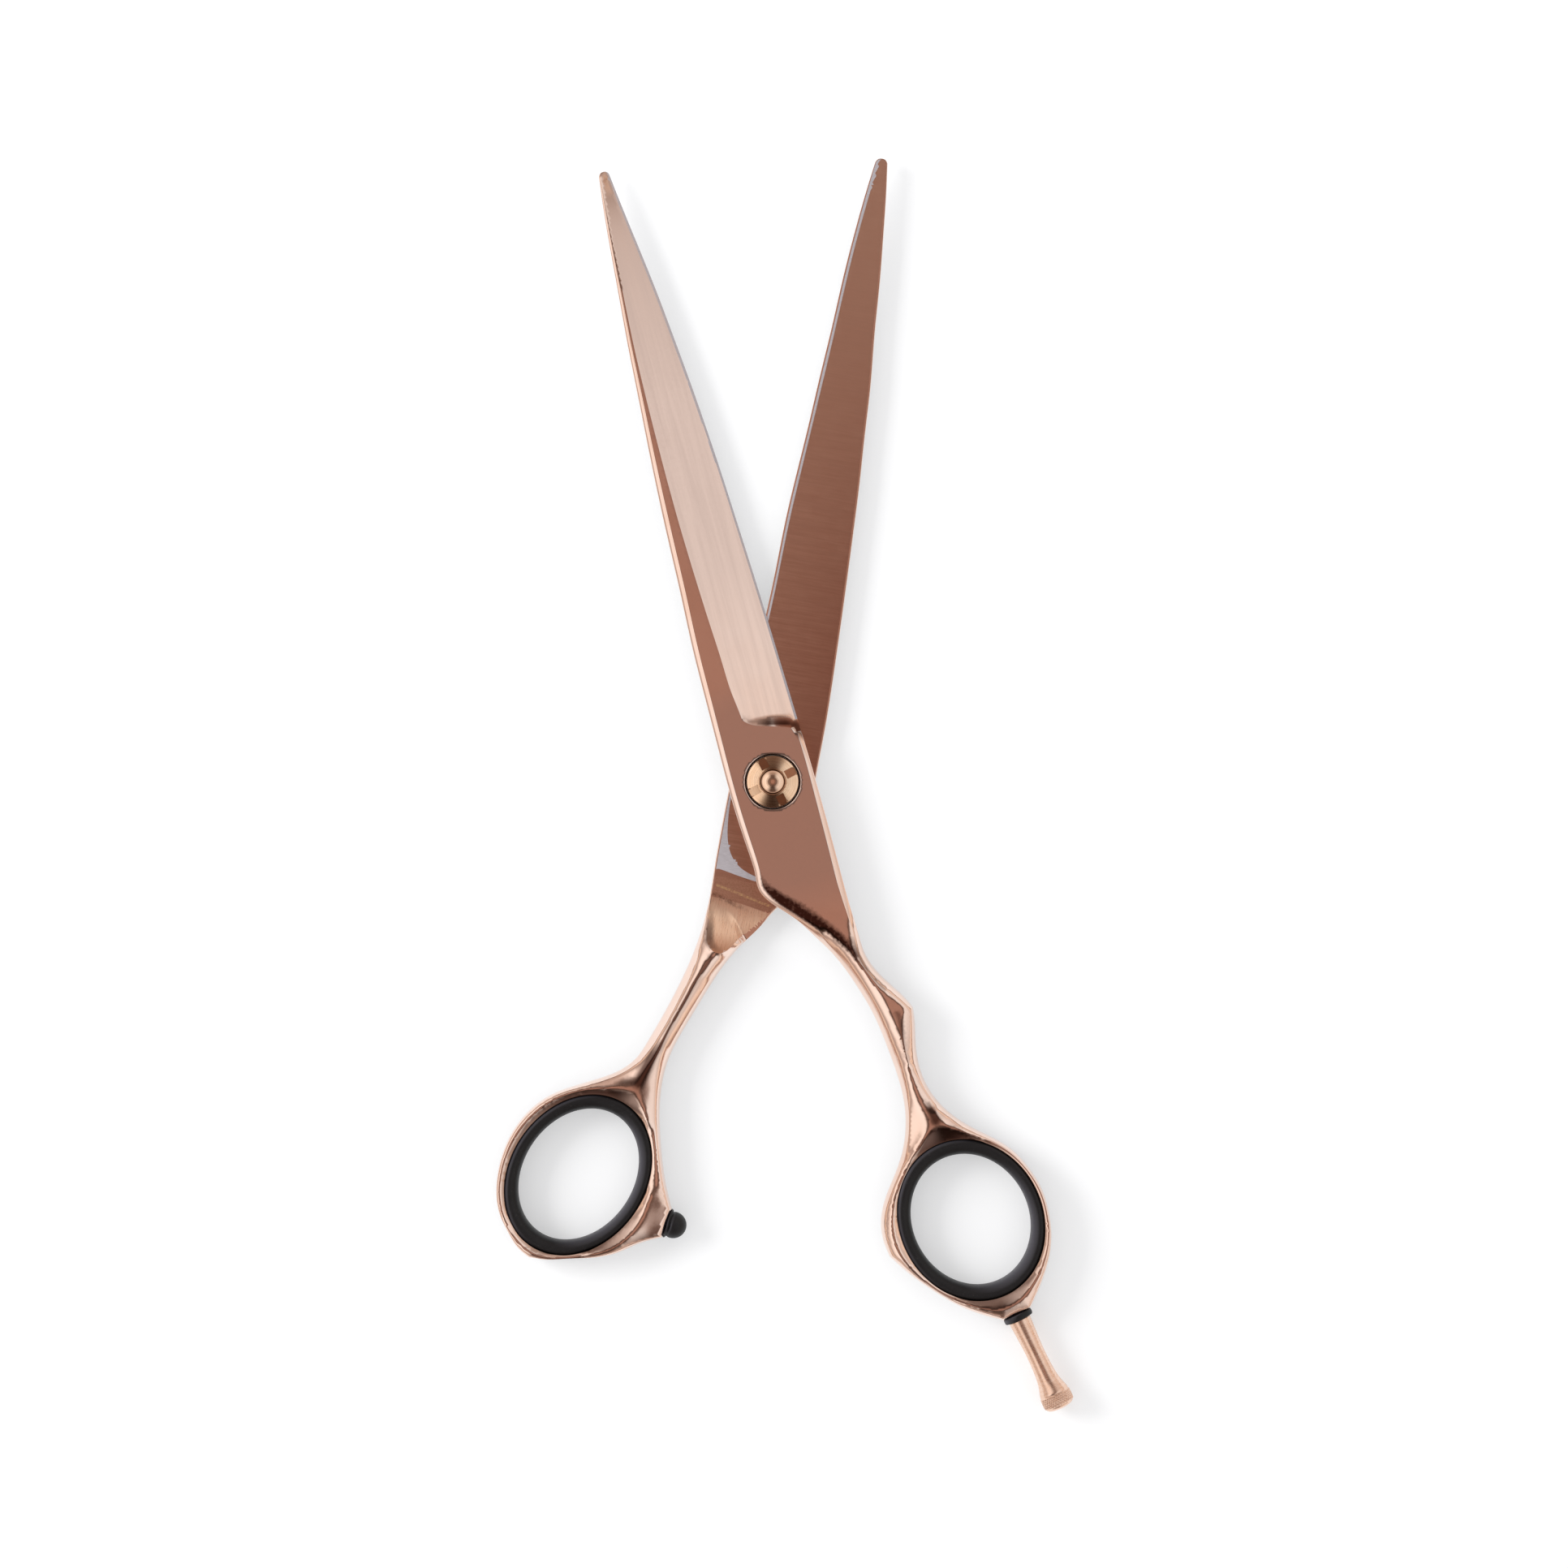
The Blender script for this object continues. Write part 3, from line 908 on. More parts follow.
def f_tagger(ob):
    me = ob.data
    nf = len(me.polygons)
    cen = np.zeros(nf * 3)
    me.polygons.foreach_get("center", cen)
    cen = cen.reshape(-1, 3) * 1000.0
    tags = np.zeros(nf, np.int32)
    me.attributes["tag"].data.foreach_get("value", tags)
    su = to_su(F_AX, cen[:, :2])
    ue = np.interp(su[:, 0], [a for a, _ in F_EDGE], [b for _, b in F_EDGE])
    edge = (su[:, 0] > 8.4) & (su[:, 1] < ue + 0.36)
    plane = (tags == 2) & (np.abs(cen[:, 2] - UPPER_PLANE) < 0.03)
    hone = edge | (plane & (su[:, 0] > 3) & (su[:, 1] < ue + 0.62)) | (plane & inside(to_xy(F_AX, to_su(T_AX, HONE)), cen[:, :2]))
    dist = (su - SCOOP_P0) @ SCOOP_DIR
    scoop = (tags == 2) & (dist > 0) & (cen[:, 2] > 0.3) & inside(to_xy(F_AX, SCOOP_POLY), cen[:, :2])
    satin = plane & ~hone & (dist < 0.05)
    for key, values in (("hone", hone), ("satin", satin), ("scoop", scoop)):
        a = me.attributes.new(key, "FLOAT", "FACE")
        a.data.foreach_set("value", np.asarray(values, np.float32))


f_tagger(finger_half)


def paint(ob, name, fn):
    me = ob.data
    co = np.zeros(len(me.vertices) * 3)
    me.vertices.foreach_get("co", co)
    co = co.reshape(-1, 3) * 1000.0
    a = me.attributes.new(name, "FLOAT", "POINT")
    a.data.foreach_set("value", fn(co).astype(np.float32))


HEEL = spline([(-1.9, -14.4), (-1.2, -16.2), (-0.2, -17.5), (1.5, -18.95), (3.9, -20.6), (6.9, -22.6), (9.9, -24.7), (12.3, -26.9), (14.2, -29.1)], 0.2)


def stroke(co, points, width, strength, low=6.0, high=9.0):
    """Tone along a line. width and strength run along it."""
    line = spline(points, 0.2)
    d = np.full(len(co), 99.0)
    t = np.zeros(len(co))
    for i, h in enumerate(line):
        e = np.hypot(co[:, 0] - h[0], co[:, 1] - h[1])
        t = np.where(e < d, i / (len(line) - 1), t)
        d = np.minimum(d, e)
    k = np.linspace(0, 1, len(width))
    w = np.interp(t, k, width)
    return np.where((co[:, 2] > low) & (co[:, 2] < high), np.interp(t, np.linspace(0, 1, len(strength)), strength) * (1 - smoothstep(d, 0.35 * w, 1.15 * w)), 0.0)


def bowl_tone(co, centre, dims, degrees, edge_z, table, crest):
    """Tone of the slope between the ring crest and the rubber, by direction from the ring centre."""
    dx, dy = co[:, 0] - centre[0], co[:, 1] - centre[1]
    a = math.radians(degrees)
    u, v = dx * math.cos(a) + dy * math.sin(a), -dx * math.sin(a) + dy * math.cos(a)
    rho = np.hypot(u / (dims[0] + 0.9), v / (dims[1] + 0.9))
    r = np.hypot(dx, dy)
    out = r * (1 - 1 / np.maximum(rho, 1e-6))
    az = np.degrees(np.arctan2(dy, dx)) % 360
    k = np.interp(az, [p[0] for p in table], [p[1] for p in table])
    reach = np.interp(az, [p[0] for p in table], [p[2] for p in table])
    line = spline(crest, 0.12)
    kd = KDTree(len(line))
    for i, p in enumerate(line):
        kd.insert((p[0], p[1], 0), i)
    kd.balance()
    pick = inside(crest, co[:, :2]) & (out > -0.3) & (out < reach) & (co[:, 2] > 4.4)
    away = np.zeros(len(co))
    for i in np.nonzero(pick)[0]:
        away[i] = kd.find((co[i, 0], co[i, 1], 0))[2]
    return np.where(pick, k * smoothstep(away, 0.04, 0.4), 0.0)


def heel_shade(co):
    return stroke(co, HEEL[:, :2], [0.3, 1.4, 2.1, 2.2, 1.9, 1.5, 0.7], [0.4, 1.0, 1.0, 1.0, 1.0, 0.9, 0.7], 6.0) * smoothstep(co[:, 2], 6.34, 6.57)


def f_dark(co):
    v = stroke(co, F_PL0, [0.8, 1.1, 1.5, 1.8, 1.5], [0.3, 0.5, 0.85, 0.95, 0.7], 3.9, 6.597)
    v = np.maximum(v, stroke(co, [(10.2, -26.6), (12.2, -29.2), (14.6, -33.2)], [0.3, 0.4, 0.3], [0.5, 0.7, 0.3]))
    v = np.maximum(v, stroke(co, [(12.2, -24.6), (12.9, -26.3), (14.3, -28.4), (16.2, -31.0), (17.6, -32.6)], [0.6, 0.75, 0.6, 0.45, 0.3], [0.5, 0.7, 0.7, 0.6, 0.4]))
    v = np.maximum(v, stroke(co, [(19.6, -36.2), (20.1, -38.4), (20.4, -41.0), (21.0, -43.8)], [0.55, 0.5, 0.4, 0.3], [0.55, 0.6, 0.5, 0.3]))
    v = np.maximum(v, stroke(co, [(24.0, -49.6), (24.8, -51.4), (25.5, -53.0)], [0.35, 0.7, 1.1], [0.3, 0.8, 0.9]))
    v = np.maximum(v, bowl_tone(co, F_RING, (12.0, 10.3), 116.0, 5.78, [(0, 0.15, 1.2), (30, 0.35, 1.5), (55, 0.8, 3.0), (90, 0.95, 5.0), (125, 0.9, 6.0), (150, 0.5, 4.0), (180, 0.05, 1.5), (225, 0.15, 1.0), (255, 0.7, 1.6), (285, 0.75, 2.4), (320, 0.5, 2.0), (360, 0.15, 1.2)], [f for f in f_top if f.clear > 0.45][0].xy))
    return v


def t_dark(co):
    v = stroke(co, T_C[:6], [0.34, 0.36, 0.38, 0.42, 0.5], [0.65, 0.7, 0.7, 0.75, 0.8])
    v = np.maximum(v, stroke(co, [(-17.3, -40.6), (-18.9, -43.2), (-19.9, -45.1), (-20.9, -47.1)], [0.35, 0.9, 1.25, 1.35], [0.6, 0.9, 0.92, 0.9]))
    v = np.maximum(v, stroke(co, [(-20.9, -46.6), (-22.6, -46.9), (-24.6, -47.1)], [0.9, 0.6, 0.35], [0.8, 0.6, 0.25]))
    v = np.maximum(v, bowl_tone(co, T_RING, (12.4, 9.7), 55.5, 5.8, [(0, 0.0, 1.0), (30, 0.25, 1.3), (50, 0.75, 4.0), (70, 0.92, 6.0), (100, 0.92, 5.0), (130, 0.75, 3.0), (160, 0.65, 2.0), (190, 0.6, 1.2), (220, 0.35, 1.2), (250, 0.6, 1.5), (275, 0.85, 2.2), (300, 0.55, 2.0), (330, 0.1, 1.5), (360, 0.0, 1.0)], [f for f in t_handle if f.clear > 0.45][0].xy))
    return np.maximum(v, stroke(co, [(-9.5, -19.6), (-9.7, -21.6), (-9.9, -23.6), (-9.75, -25.3), (-8.9, -26.2), (-7.6, -26.2)], [0.3, 0.55, 0.8, 0.9, 0.8, 0.5], [0.1, 0.45, 0.75, 0.8, 0.5, 0.0], 3.25, 6.1))


paint(finger_half, "shade", heel_shade)


def ground_mask(ax, ridge):
    def fn(co):
        su = to_su(ax, co[:, :2])
        ur = np.interp(su[:, 0], [a for a, _ in ridge], [b for _, b in ridge])
        return ((su[:, 0] > 9.5) & (su[:, 1] < ur + 0.05)).astype(float)
    return fn


paint(finger_half, "ground", ground_mask(F_AX, F_RIDGE_S))
paint(finger_half, "cbore", lambda co: ((np.hypot(co[:, 0] - PIVOT[0], co[:, 1] - PIVOT[1]) < 4.4) & (co[:, 2] > 4.6)).astype(float))
paint(finger_half, "dark", f_dark)
paint(thumb_half, "dark", t_dark)
paint(thumb_half, "speckle", lambda co: stroke(co, [(-9.3, -17.6), (-7.0, -18.75), (-4.3, -20.0)], [0.3, 0.5, 0.4], [0.9, 0.9, 0.3], 3.2, 3.6))


# ---------------------------------------------------------------- clearance behind the pivot
def depth_in(loop, pts):
    """Distance of points from a closed loop, positive inside it."""
    a, b = loop, np.roll(loop, -1, axis=0)
    d = b - a
    dd = np.maximum((d ** 2).sum(1), 1e-12)
    near = np.full(len(pts), 1e9)
    for k in range(len(a)):
        t = np.clip(((pts - a[k]) @ d[k]) / dd[k], 0, 1)
        near = np.minimum(near, np.linalg.norm(pts - a[k] - t[:, None] * d[k], axis=1))
    return np.where(inside(loop, pts), near, -near)


def relieve(ob, chains, turns, plane, above):
    """Where the other half sweeps over this one as the blades close, holds the surface at the ride plane."""
    me = ob.data
    co = np.zeros(len(me.vertices) * 3)
    me.vertices.foreach_get("co", co)
    co = co.reshape(-1, 3) * 1000.0
    over = (co[:, 2] - plane) if above else (plane - co[:, 2])
    pick = np.where((over > 1e-3) & (co[:, 1] < -12.0) & (co[:, 1] > -33.0))[0]
    loop = np.concatenate([spline(c, 0.5)[:-1] for c in chains])
    w = np.zeros(len(pick))
    for turn in turns:
        c, q = math.cos(math.radians(turn)), math.sin(math.radians(turn))
        moved = (loop - PIVOT[:2]) @ np.array([[c, q], [-q, c]]) + PIVOT[:2]
        moved = moved[(moved[:, 1] < -5.0) & (moved[:, 1] > -45.0)]
        w = np.maximum(w, smoothstep(depth_in(moved, co[pick, :2]), -1.0, -0.5))
    kept = over[pick] * (1 - 0.985 * w)
    co[pick, 2] = plane + kept if above else plane - kept
    me.vertices.foreach_set("co", (co / 1000.0).ravel())
    me.update()


relieve(thumb_half, F_CHAINS, (-24.5, -20.0, -15.0, -10.0, -5.0), LOWER_PLANE, True)
relieve(finger_half, T_CHAINS, (24.5, 20.0, 15.0, 10.0, 5.0), UPPER_PLANE, False)


# ---------------------------------------------------------------- turned and moulded pieces
def lathe(name, origin, axis, side, profile, n, displace=None, closed_ends=True):
    """Turns (radius, distance) pairs about an axis. displace(r, y, angle) returns a new radius and distance."""
    axis = Vector(axis).normalized()
    side = (Vector(side) - axis * Vector(side).dot(axis)).normalized()
    third = axis.cross(side)
    o = Vector(origin)
    m = Mesh()
    prev = None
    first = last = None
    for r, y in profile:
        if r < 1e-6:
            i = m.add([tuple(o + axis * y)])
            cur = i
        else:
            ring = []
            for k in range(n):
                a = 2 * math.pi * k / n
                rr, yy = (r, y) if displace is None else displace(r, y, a)
                ring.append(tuple(o + axis * yy + side * (rr * math.cos(a)) + third * (rr * math.sin(a))))
            i = m.add(ring)
            cur = np.arange(i, i + n)
        if prev is not None:
            if isinstance(prev, (int, np.integer)) and not isinstance(cur, (int, np.integer)):
                m.faces([(prev, cur[(k + 1) % n], cur[k]) for k in range(n)])
            elif isinstance(cur, (int, np.integer)) and not isinstance(prev, (int, np.integer)):
                m.faces([(cur, prev[k], prev[(k + 1) % n]) for k in range(n)])
            else:
                m.strip(prev, cur)
        else:
            first = cur
        prev = cur
    if not isinstance(first, (int, np.integer)) and closed_ends is None:
        m.strip(prev, first)
    return m.object(name)


def rounded_path(points, radius, k=4):
    """Rounds the corners of a (radius, distance) path. radius may be one number or one for each point."""
    P = [np.array(p, float) for p in points]
    R = [radius] * len(P) if np.isscalar(radius) else list(radius)
    out = [P[0]]
    for i in range(1, len(P) - 1):
        a, b, c = P[i - 1], P[i], P[i + 1]
        u, v = a - b, c - b
        lu, lv = np.linalg.norm(u), np.linalg.norm(v)
        d = min(R[i], lu * 0.45, lv * 0.45)
        if d < 1e-4:
            out.append(b)
            continue
        p, q = b + u / lu * d, b + v / lv * d
        for j in range(k + 1):
            t = j / k
            out.append((1 - t) ** 2 * p + 2 * t * (1 - t) * b + t * t * q)
    out.append(P[-1])
    return [tuple(x) for x in out]


# ring inserts: a rubber oval with a groove for the metal lip
def insert(name, node, centre, hole, open_, angle):
    lo, hi = node_box(node)
    z0, z1 = float(lo[2]), float(hi[2])
    oa, ob = hole[0] + 0.88, hole[1] + 0.88
    n = 240
    # (share across the wall from outer 0 to opening 1, height), clockwise round the section
    top = [(0.0, z1 - 0.75), (0.012, z1 - 0.52), (0.05, z1 - 0.3), (0.12, z1 - 0.12), (0.22, z1 - 0.025), (0.32, z1), (0.44, z1 - 0.03), (0.56, z1 - 0.12), (0.68, z1 - 0.27), (0.79, z1 - 0.5), (0.88, z1 - 0.8), (0.95, z1 - 1.2), (0.99, z1 - 1.7), (1.0, z1 - 2.2)]
    low = [(f, z0 + z1 - z) for f, z in top[::-1]]
    section = top + low
    m = Mesh()
    loops = []
    for f, z in section:
        a = oa + (open_[0] - oa) * f
        b = ob + (open_[1] - ob) * f
        loops.append((ellipse(centre, a, b, angle, n), z))
    # close the outer side round the lip groove
    for a, b, z in ((oa, ob, 2.4), (hole[0] - 0.02, hole[1] - 0.02, 2.38), (hole[0] - 0.02, hole[1] - 0.02, 4.22), (oa, ob, 4.2)):
        loops.append((ellipse(centre, a, b, angle, n), z))
    idx = []
    for xy, z in loops:
        i = m.add(np.column_stack([xy, np.full(n, z)]))
        idx.append(np.arange(i, i + n))
    for a, b in zip(idx, idx[1:] + idx[:1]):
        m.strip(a, b)
    return m.object(name)


finger_insert = insert("finger_ring_rubber", "finger_ring_insert", F_RING, (12.0, 10.3), (10.5, 9.15), 116.0)
thumb_insert = insert("thumb_ring_rubber", "thumb_ring_insert", T_RING, (12.4, 9.7), (10.98, 8.65), 55.5)

# pivot stud: keyed flat head below, journal, thread and domed end
def stud_shape():
    lo, hi = node_box("pivot_stud")
    top = float(hi[2])
    path = [(0.0, 0.0), (3.55, 0.0), (3.7, 0.15), (3.7, 1.05), (3.6, 1.2), (2.0, 1.2), (2.0, 4.4), (1.9, 4.5), (1.8, 4.5)]
    z = 4.62
    while z < top - 0.75:
        path += [(1.62, z + 0.09), (1.8, z + 0.18)]
        z += 0.18
    path += [(1.8, top - 0.56), (1.79, top - 0.5), (1.755, top - 0.455)]
    cap = 3.83
    for r in (1.7, 1.55, 1.4, 1.2, 1.0, 0.8, 0.6, 0.4, 0.2):
        path.append((r, top - cap + math.sqrt(cap * cap - r * r)))
    path.append((0.0, top))
    return path


path = stud_shape()


def keyed_lathe(name, path, n):
    m = Mesh()
    a0 = T_ANGLE
    prev = None
    for r, y in path:
        if r < 1e-6:
            i = m.add([(PIVOT[0], PIVOT[1], y)])
            cur = i
        else:
            t = np.arange(n) / n * 2 * math.pi
            x, yy = r * np.cos(t), r * np.sin(t)
            if y <= 1.21 and r > 3.0:
                x = np.clip(x, -(3.1 - (3.7 - r)), 3.1 - (3.7 - r))
            i = m.add(np.column_stack([PIVOT[0] + x * math.cos(a0) - yy * math.sin(a0), PIVOT[1] + x * math.sin(a0) + yy * math.cos(a0), np.full(n, y)]))
            cur = np.arange(i, i + n)
        if prev is not None:
            if isinstance(prev, (int, np.integer)):
                m.faces([(prev, cur[(k + 1) % n], cur[k]) for k in range(n)])
            elif isinstance(cur, (int, np.integer)):
                m.faces([(cur, prev[k], prev[(k + 1) % n]) for k in range(n)])
            else:
                m.strip(prev, cur)
        prev = cur
    return m.object(name)


stud = keyed_lathe("pivot_stud_turned", path, 128)


# tension nut: coned face with four key notches, made over a disc with the notches let in
def make_nut():
    z0 = float(NUT_LO[2])
    hub = float(NUT_HI[2])
    R, rb = NUT_R, 1.86
    rim = hub - 0.58
    floor = rim - 0.12
    r_in = rb + 0.16

    def cone(r):
        f = np.clip((R - 0.12 - r) / (R - 0.12 - r_in), 0, 1)
        return rim + (hub - rim) * (0.85 * f + 0.15 * (1 - (1 - f) ** 2))

    half = 1.35 / 2
    eps = 0.035
    n = 240
    base = np.arange(n) / n * 2 * math.pi
    outer_r = R - 0.12
    keys = []
    for q in range(4):
        c = math.radians(27 + 90 * q)
        for d in (half - eps, half):
            w = math.asin(d / outer_r)
            keys += [c - w, c + w]
    keys = np.mod(np.array(keys), 2 * math.pi)
    keepb = [a for a in base if min(abs((a - k + math.pi) % (2 * math.pi) - math.pi) for k in keys) > 0.012]
    ang = np.sort(np.concatenate([keepb, keys]))
    loop = np.stack([outer_r * np.cos(ang), outer_r * np.sin(ang)], 1)

    def depth(xy):
        """Number of the notch that a point lies in, 0 on the cone."""
        res = np.zeros(len(xy), int)
        for q in range(4):
            c = math.radians(27 + 90 * q)
            u = xy[:, 0] * math.cos(c) + xy[:, 1] * math.sin(c)
            v = -xy[:, 0] * math.sin(c) + xy[:, 1] * math.cos(c)
            res[(u > 2.3 + eps / 2) & (np.abs(v) < half - eps / 2)] = q + 1
        return res

    def zf(xy):
        r = np.hypot(xy[:, 0], xy[:, 1])
        k = depth(xy)
        return np.where(k == 3, cone(r) - 0.24, np.where(k > 0, floor, cone(r)))

    feats = []
    for q in range(4):
        c = math.radians(27 + 90 * q)
        e = np.array([math.cos(c), math.sin(c)])
        f = np.array([-math.sin(c), math.cos(c)])
        for d, r0 in ((half, 2.3), (half - eps, 2.3 + eps)):
            ru = math.sqrt(outer_r ** 2 - d * d) - 0.26
            pts = [e * ru - f * d, e * r0 - f * d, e * r0 + f * d, e * ru + f * d]
            for a, b in zip(pts[:-1], pts[1:]):
                k = max(1, int(np.linalg.norm(b - a) / 0.12))
                t = np.linspace(0, 1, k + 1)[:, None]
                L = a * (1 - t) + b * t
                g = Feature.__new__(Feature)
                g.xy = L
                top_z = cone(np.hypot(L[:, 0], L[:, 1]))
                g.z = top_z if d == half else (top_z - 0.24 if q == 2 else np.full(len(L), floor))
                g.clear = 0.0
                g.sharp, g.soft = True, False
                feats.append(g)

    def fixed(V2):
        return np.ones(len(V2), bool), zf(V2)

    ni = 120
    t = np.arange(ni) / ni * 2 * math.pi
    inner = np.stack([r_in * np.cos(t), r_in * np.sin(t)], 1)
    verts, tri, loops, pairs = surface(loop, zf(loop), [(inner, np.full(ni, hub))], feats, 0.13, None, 0, None, fixed)
    verts[:, :2] += PIVOT
    m = Mesh()
    i0 = m.add(verts)
    m.faces(tri + i0, 1)
    m.sharp |= {(a + i0, b + i0) for a, b in pairs}
    cen = verts[tri].mean(1)
    which = depth(cen[:, :2] - PIVOT)
    az = np.arctan2(cen[:, 1] - PIVOT[1], cen[:, 0] - PIVOT[0])
    streak = smoothstep(np.abs(np.sin(az - 0.12)), 0.7, 0.98) * 0.7
    notch_tone = [{0: float(a), 1: 0.25, 2: 0.8, 3: 0.36, 4: 0.85}[int(k)] for k, a in zip(which, streak)]
    prev = loops[0] + i0
    zr = zf(loop)
    nn = len(loop)
    cs = np.stack([np.cos(ang), np.sin(ang)], 1)
    rows = [(R - 0.035, zr - 0.03), (R, zr - 0.12), (R, np.full(nn, z0 + 0.18)), (R - 0.04, np.full(nn, z0 + 0.05)), (R - 0.15, np.full(nn, z0))]
    for r, z in rows:
        i = m.add(np.column_stack([cs * r + PIVOT, z]))
        cur = np.arange(i, i + nn)
        m.strip(prev, cur, 2)
        prev = cur
    # underside annulus and bore, on the outer loop's angles
    cur = None
    for r, z in ((2.52, z0), (2.5, z0 + 0.05), (2.5, z0 + 0.6), (rb, z0 + 0.6)):
        i = m.add(np.column_stack([cs * r + PIVOT, np.full(nn, z)]))
        cur = np.arange(i, i + nn)
        m.strip(prev, cur, 3)
        prev = cur
    # bore rows change to the inner loop's count with one triangulated band
    i = m.add(np.column_stack([np.stack([np.cos(t), np.sin(t)], 1) * rb + PIVOT, np.full(ni, hub - 0.5)]))
    low = prev
    high = np.arange(i, i + ni)
    a_low = ang
    a_high = t
    ia = ib = 0
    while ia < nn or ib < ni:
        na = a_low[ia % nn] + (2 * math.pi if ia >= nn else 0)
        nb_ = a_high[ib % ni] + (2 * math.pi if ib >= ni else 0)
        nxa = a_low[(ia + 1) % nn] + (2 * math.pi if ia + 1 >= nn else 0)
        nxb = a_high[(ib + 1) % ni] + (2 * math.pi if ib + 1 >= ni else 0)
        if ib >= ni or (ia < nn and nxa <= nxb):
            m.f.append([int(low[ia % nn]), int(low[(ia + 1) % nn]), int(high[ib % ni])])
            ia += 1
        else:
            m.f.append([int(low[ia % nn]), int(high[(ib + 1) % ni]), int(high[ib % ni])])
            ib += 1
        m.tag.append(3)
    prev = high
    for r, z in ((rb, hub - 0.14), (rb + 0.05, hub - 0.05)):
        i = m.add(np.column_stack([np.stack([np.cos(t), np.sin(t)], 1) * r + PIVOT, np.full(ni, z)]))
        cur = np.arange(i, i + ni)
        m.strip(prev, cur, 3)
        prev = cur
    m.strip(prev, loops[1] + i0, 3)
    ob = m.object("tension_nut_turned")
    a = ob.data.attributes.new("dark", "FLOAT", "FACE")
    a.data.foreach_set("value", np.array(notch_tone + [0.75] * (len(ob.data.polygons) - len(notch_tone)), np.float32))
    return ob


nut = make_nut()

# finger rest with a knurled band, its rubber washer, and the bumper
REST_SEAT = (38.32, -83.49, RIDE)
REST_AXIS = (0.4271, -0.9042, 0.0)
BUMPER_SEAT = (-16.56, -69.24, RIDE)
BUMPER_AXIS = (0.9478, -0.3188, 0.0)
UPV = (0.0, 0.0, 1.0)
W = 0.95
body_pts = [(1.82, 0.0), (1.68, 2.5), (1.55, 5.0), (1.54, 7.0), (1.66, 9.3), (1.92, 11.0), (2.26, 12.1), (2.46, 12.75)]
sm = spline(body_pts, 0.25)
rest_path = [(0.0, -3.0), (1.0, -3.0), (1.25, -2.75), (1.25, W - 0.02), (1.6, W - 0.01), (1.74, W + 0.0), (1.82, W + 0.1)]
rest_path += [(float(r), W + float(y)) for r, y in sm[1:-1]]
rest_path += [(2.44, W + 12.72), (2.36, W + 12.8), (2.4, W + 12.9), (2.5, W + 12.95)]
yk = np.arange(13.0, 14.62, 0.055)
rest_path += [(2.56 - 0.03 * ((y - 13.8) / 0.8) ** 2, W + float(y)) for y in yk]
rest_path += [(2.45, W + 14.68), (2.34, W + 14.74), (2.3, W + 14.8)]
for a in (12, 26, 40, 54, 68, 80):
    t = math.radians(a)
    rest_path.append((2.3 * math.cos(t), W + 14.8 + 0.66 * math.sin(t)))
rest_path.append((0.0, W + 15.46))


def knurl(r, y, a):
    yy = y - W
    if 12.97 < yy < 14.65:
        env = min(1.0, (yy - 12.95) / 0.12, (14.68 - yy) / 0.12)
        n = 34
        p = (a / (2 * math.pi)) * n
        q = (yy - 13.0) / 0.62
        def tri(x):
            return abs((x % 1.0) - 0.5) * 2
        d = max(tri(p + q), tri(p - q))
        g = 0.15 * env * (1 - (d - 0.35) / 0.65 if d > 0.35 else 1.0)
        return r - 0.15 * env + (0.15 * env - g * 0.0) * (1 - max(0.0, (d - 0.45) / 0.55)) , y
    return r, y


rest_path = [(r * 0.974, y) for r, y in rest_path]
rest = lathe("finger_rest_turned", REST_SEAT, REST_AXIS, UPV, rest_path, 272, knurl)
washer = lathe("finger_rest_rubber_washer", REST_SEAT, REST_AXIS, UPV, rounded_path([(1.3, 0.475), (1.3, 0.0), (2.3, 0.0), (2.36, 0.475), (2.3, W), (1.3, W), (1.3, 0.475)], [0, 0.05, 0.22, 0.4, 0.22, 0.05, 0], 4)[:-1], 96, None, None)


def ragged(r, y, a):
    if 0.0 < y < 0.62 and r > 1.6:
        w = 0.5 + 0.5 * math.sin(5 * a + 0.6) * math.sin(3 * a + 1.1)
        return r - 0.12 * w + 0.02 * math.sin(17 * a), y + 0.07 * math.sin(4 * a + 0.4)
    return r, y


ball_c = 1.0
bp = [(0.0, -2.6), (0.7, -2.6), (0.9, -2.4), (0.9, 0.0), (1.6, 0.0), (2.2, 0.01), (2.33, 0.07), (2.37, 0.16), (2.3, 0.28), (2.12, 0.38), (2.0, 0.46), (1.99, 0.56)]
for a in range(-8, 90, 7):
    t = math.radians(a)
    bp.append((2.1 * math.cos(t), ball_c + 2.1 * math.sin(t)))
bp.append((0.0, ball_c + 2.1))
bumper = lathe("bumper_rubber", BUMPER_SEAT, BUMPER_AXIS, UPV, bp, 96, ragged)

# ---------------------------------------------------------------- what each piece stands for and rides on
for piece, body, nodes, slot in (
    (finger_half, "finger_half", ["finger_blade"], "plated_steel"),
    (thumb_half, "thumb_half", ["thumb_blade"], "plated_steel"),
    (finger_insert, "finger_half", ["finger_ring_insert"], "black_rubber"),
    (thumb_insert, "thumb_half", ["thumb_ring_insert"], "black_rubber"),
    (stud, "thumb_half", ["pivot_stud"], "pivot_hardware"),
    (nut, "tension_nut_body", ["tension_nut"], "pivot_hardware"),
    (rest, "finger_rest_body", ["finger_rest"], "plated_rest"),
    (washer, "rest_washer_body", ["finger_rest_washer"], "black_rubber"),
    (bumper, "thumb_half", ["bumper"], "black_rubber"),
):
    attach(piece, body)
    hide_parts(*nodes)


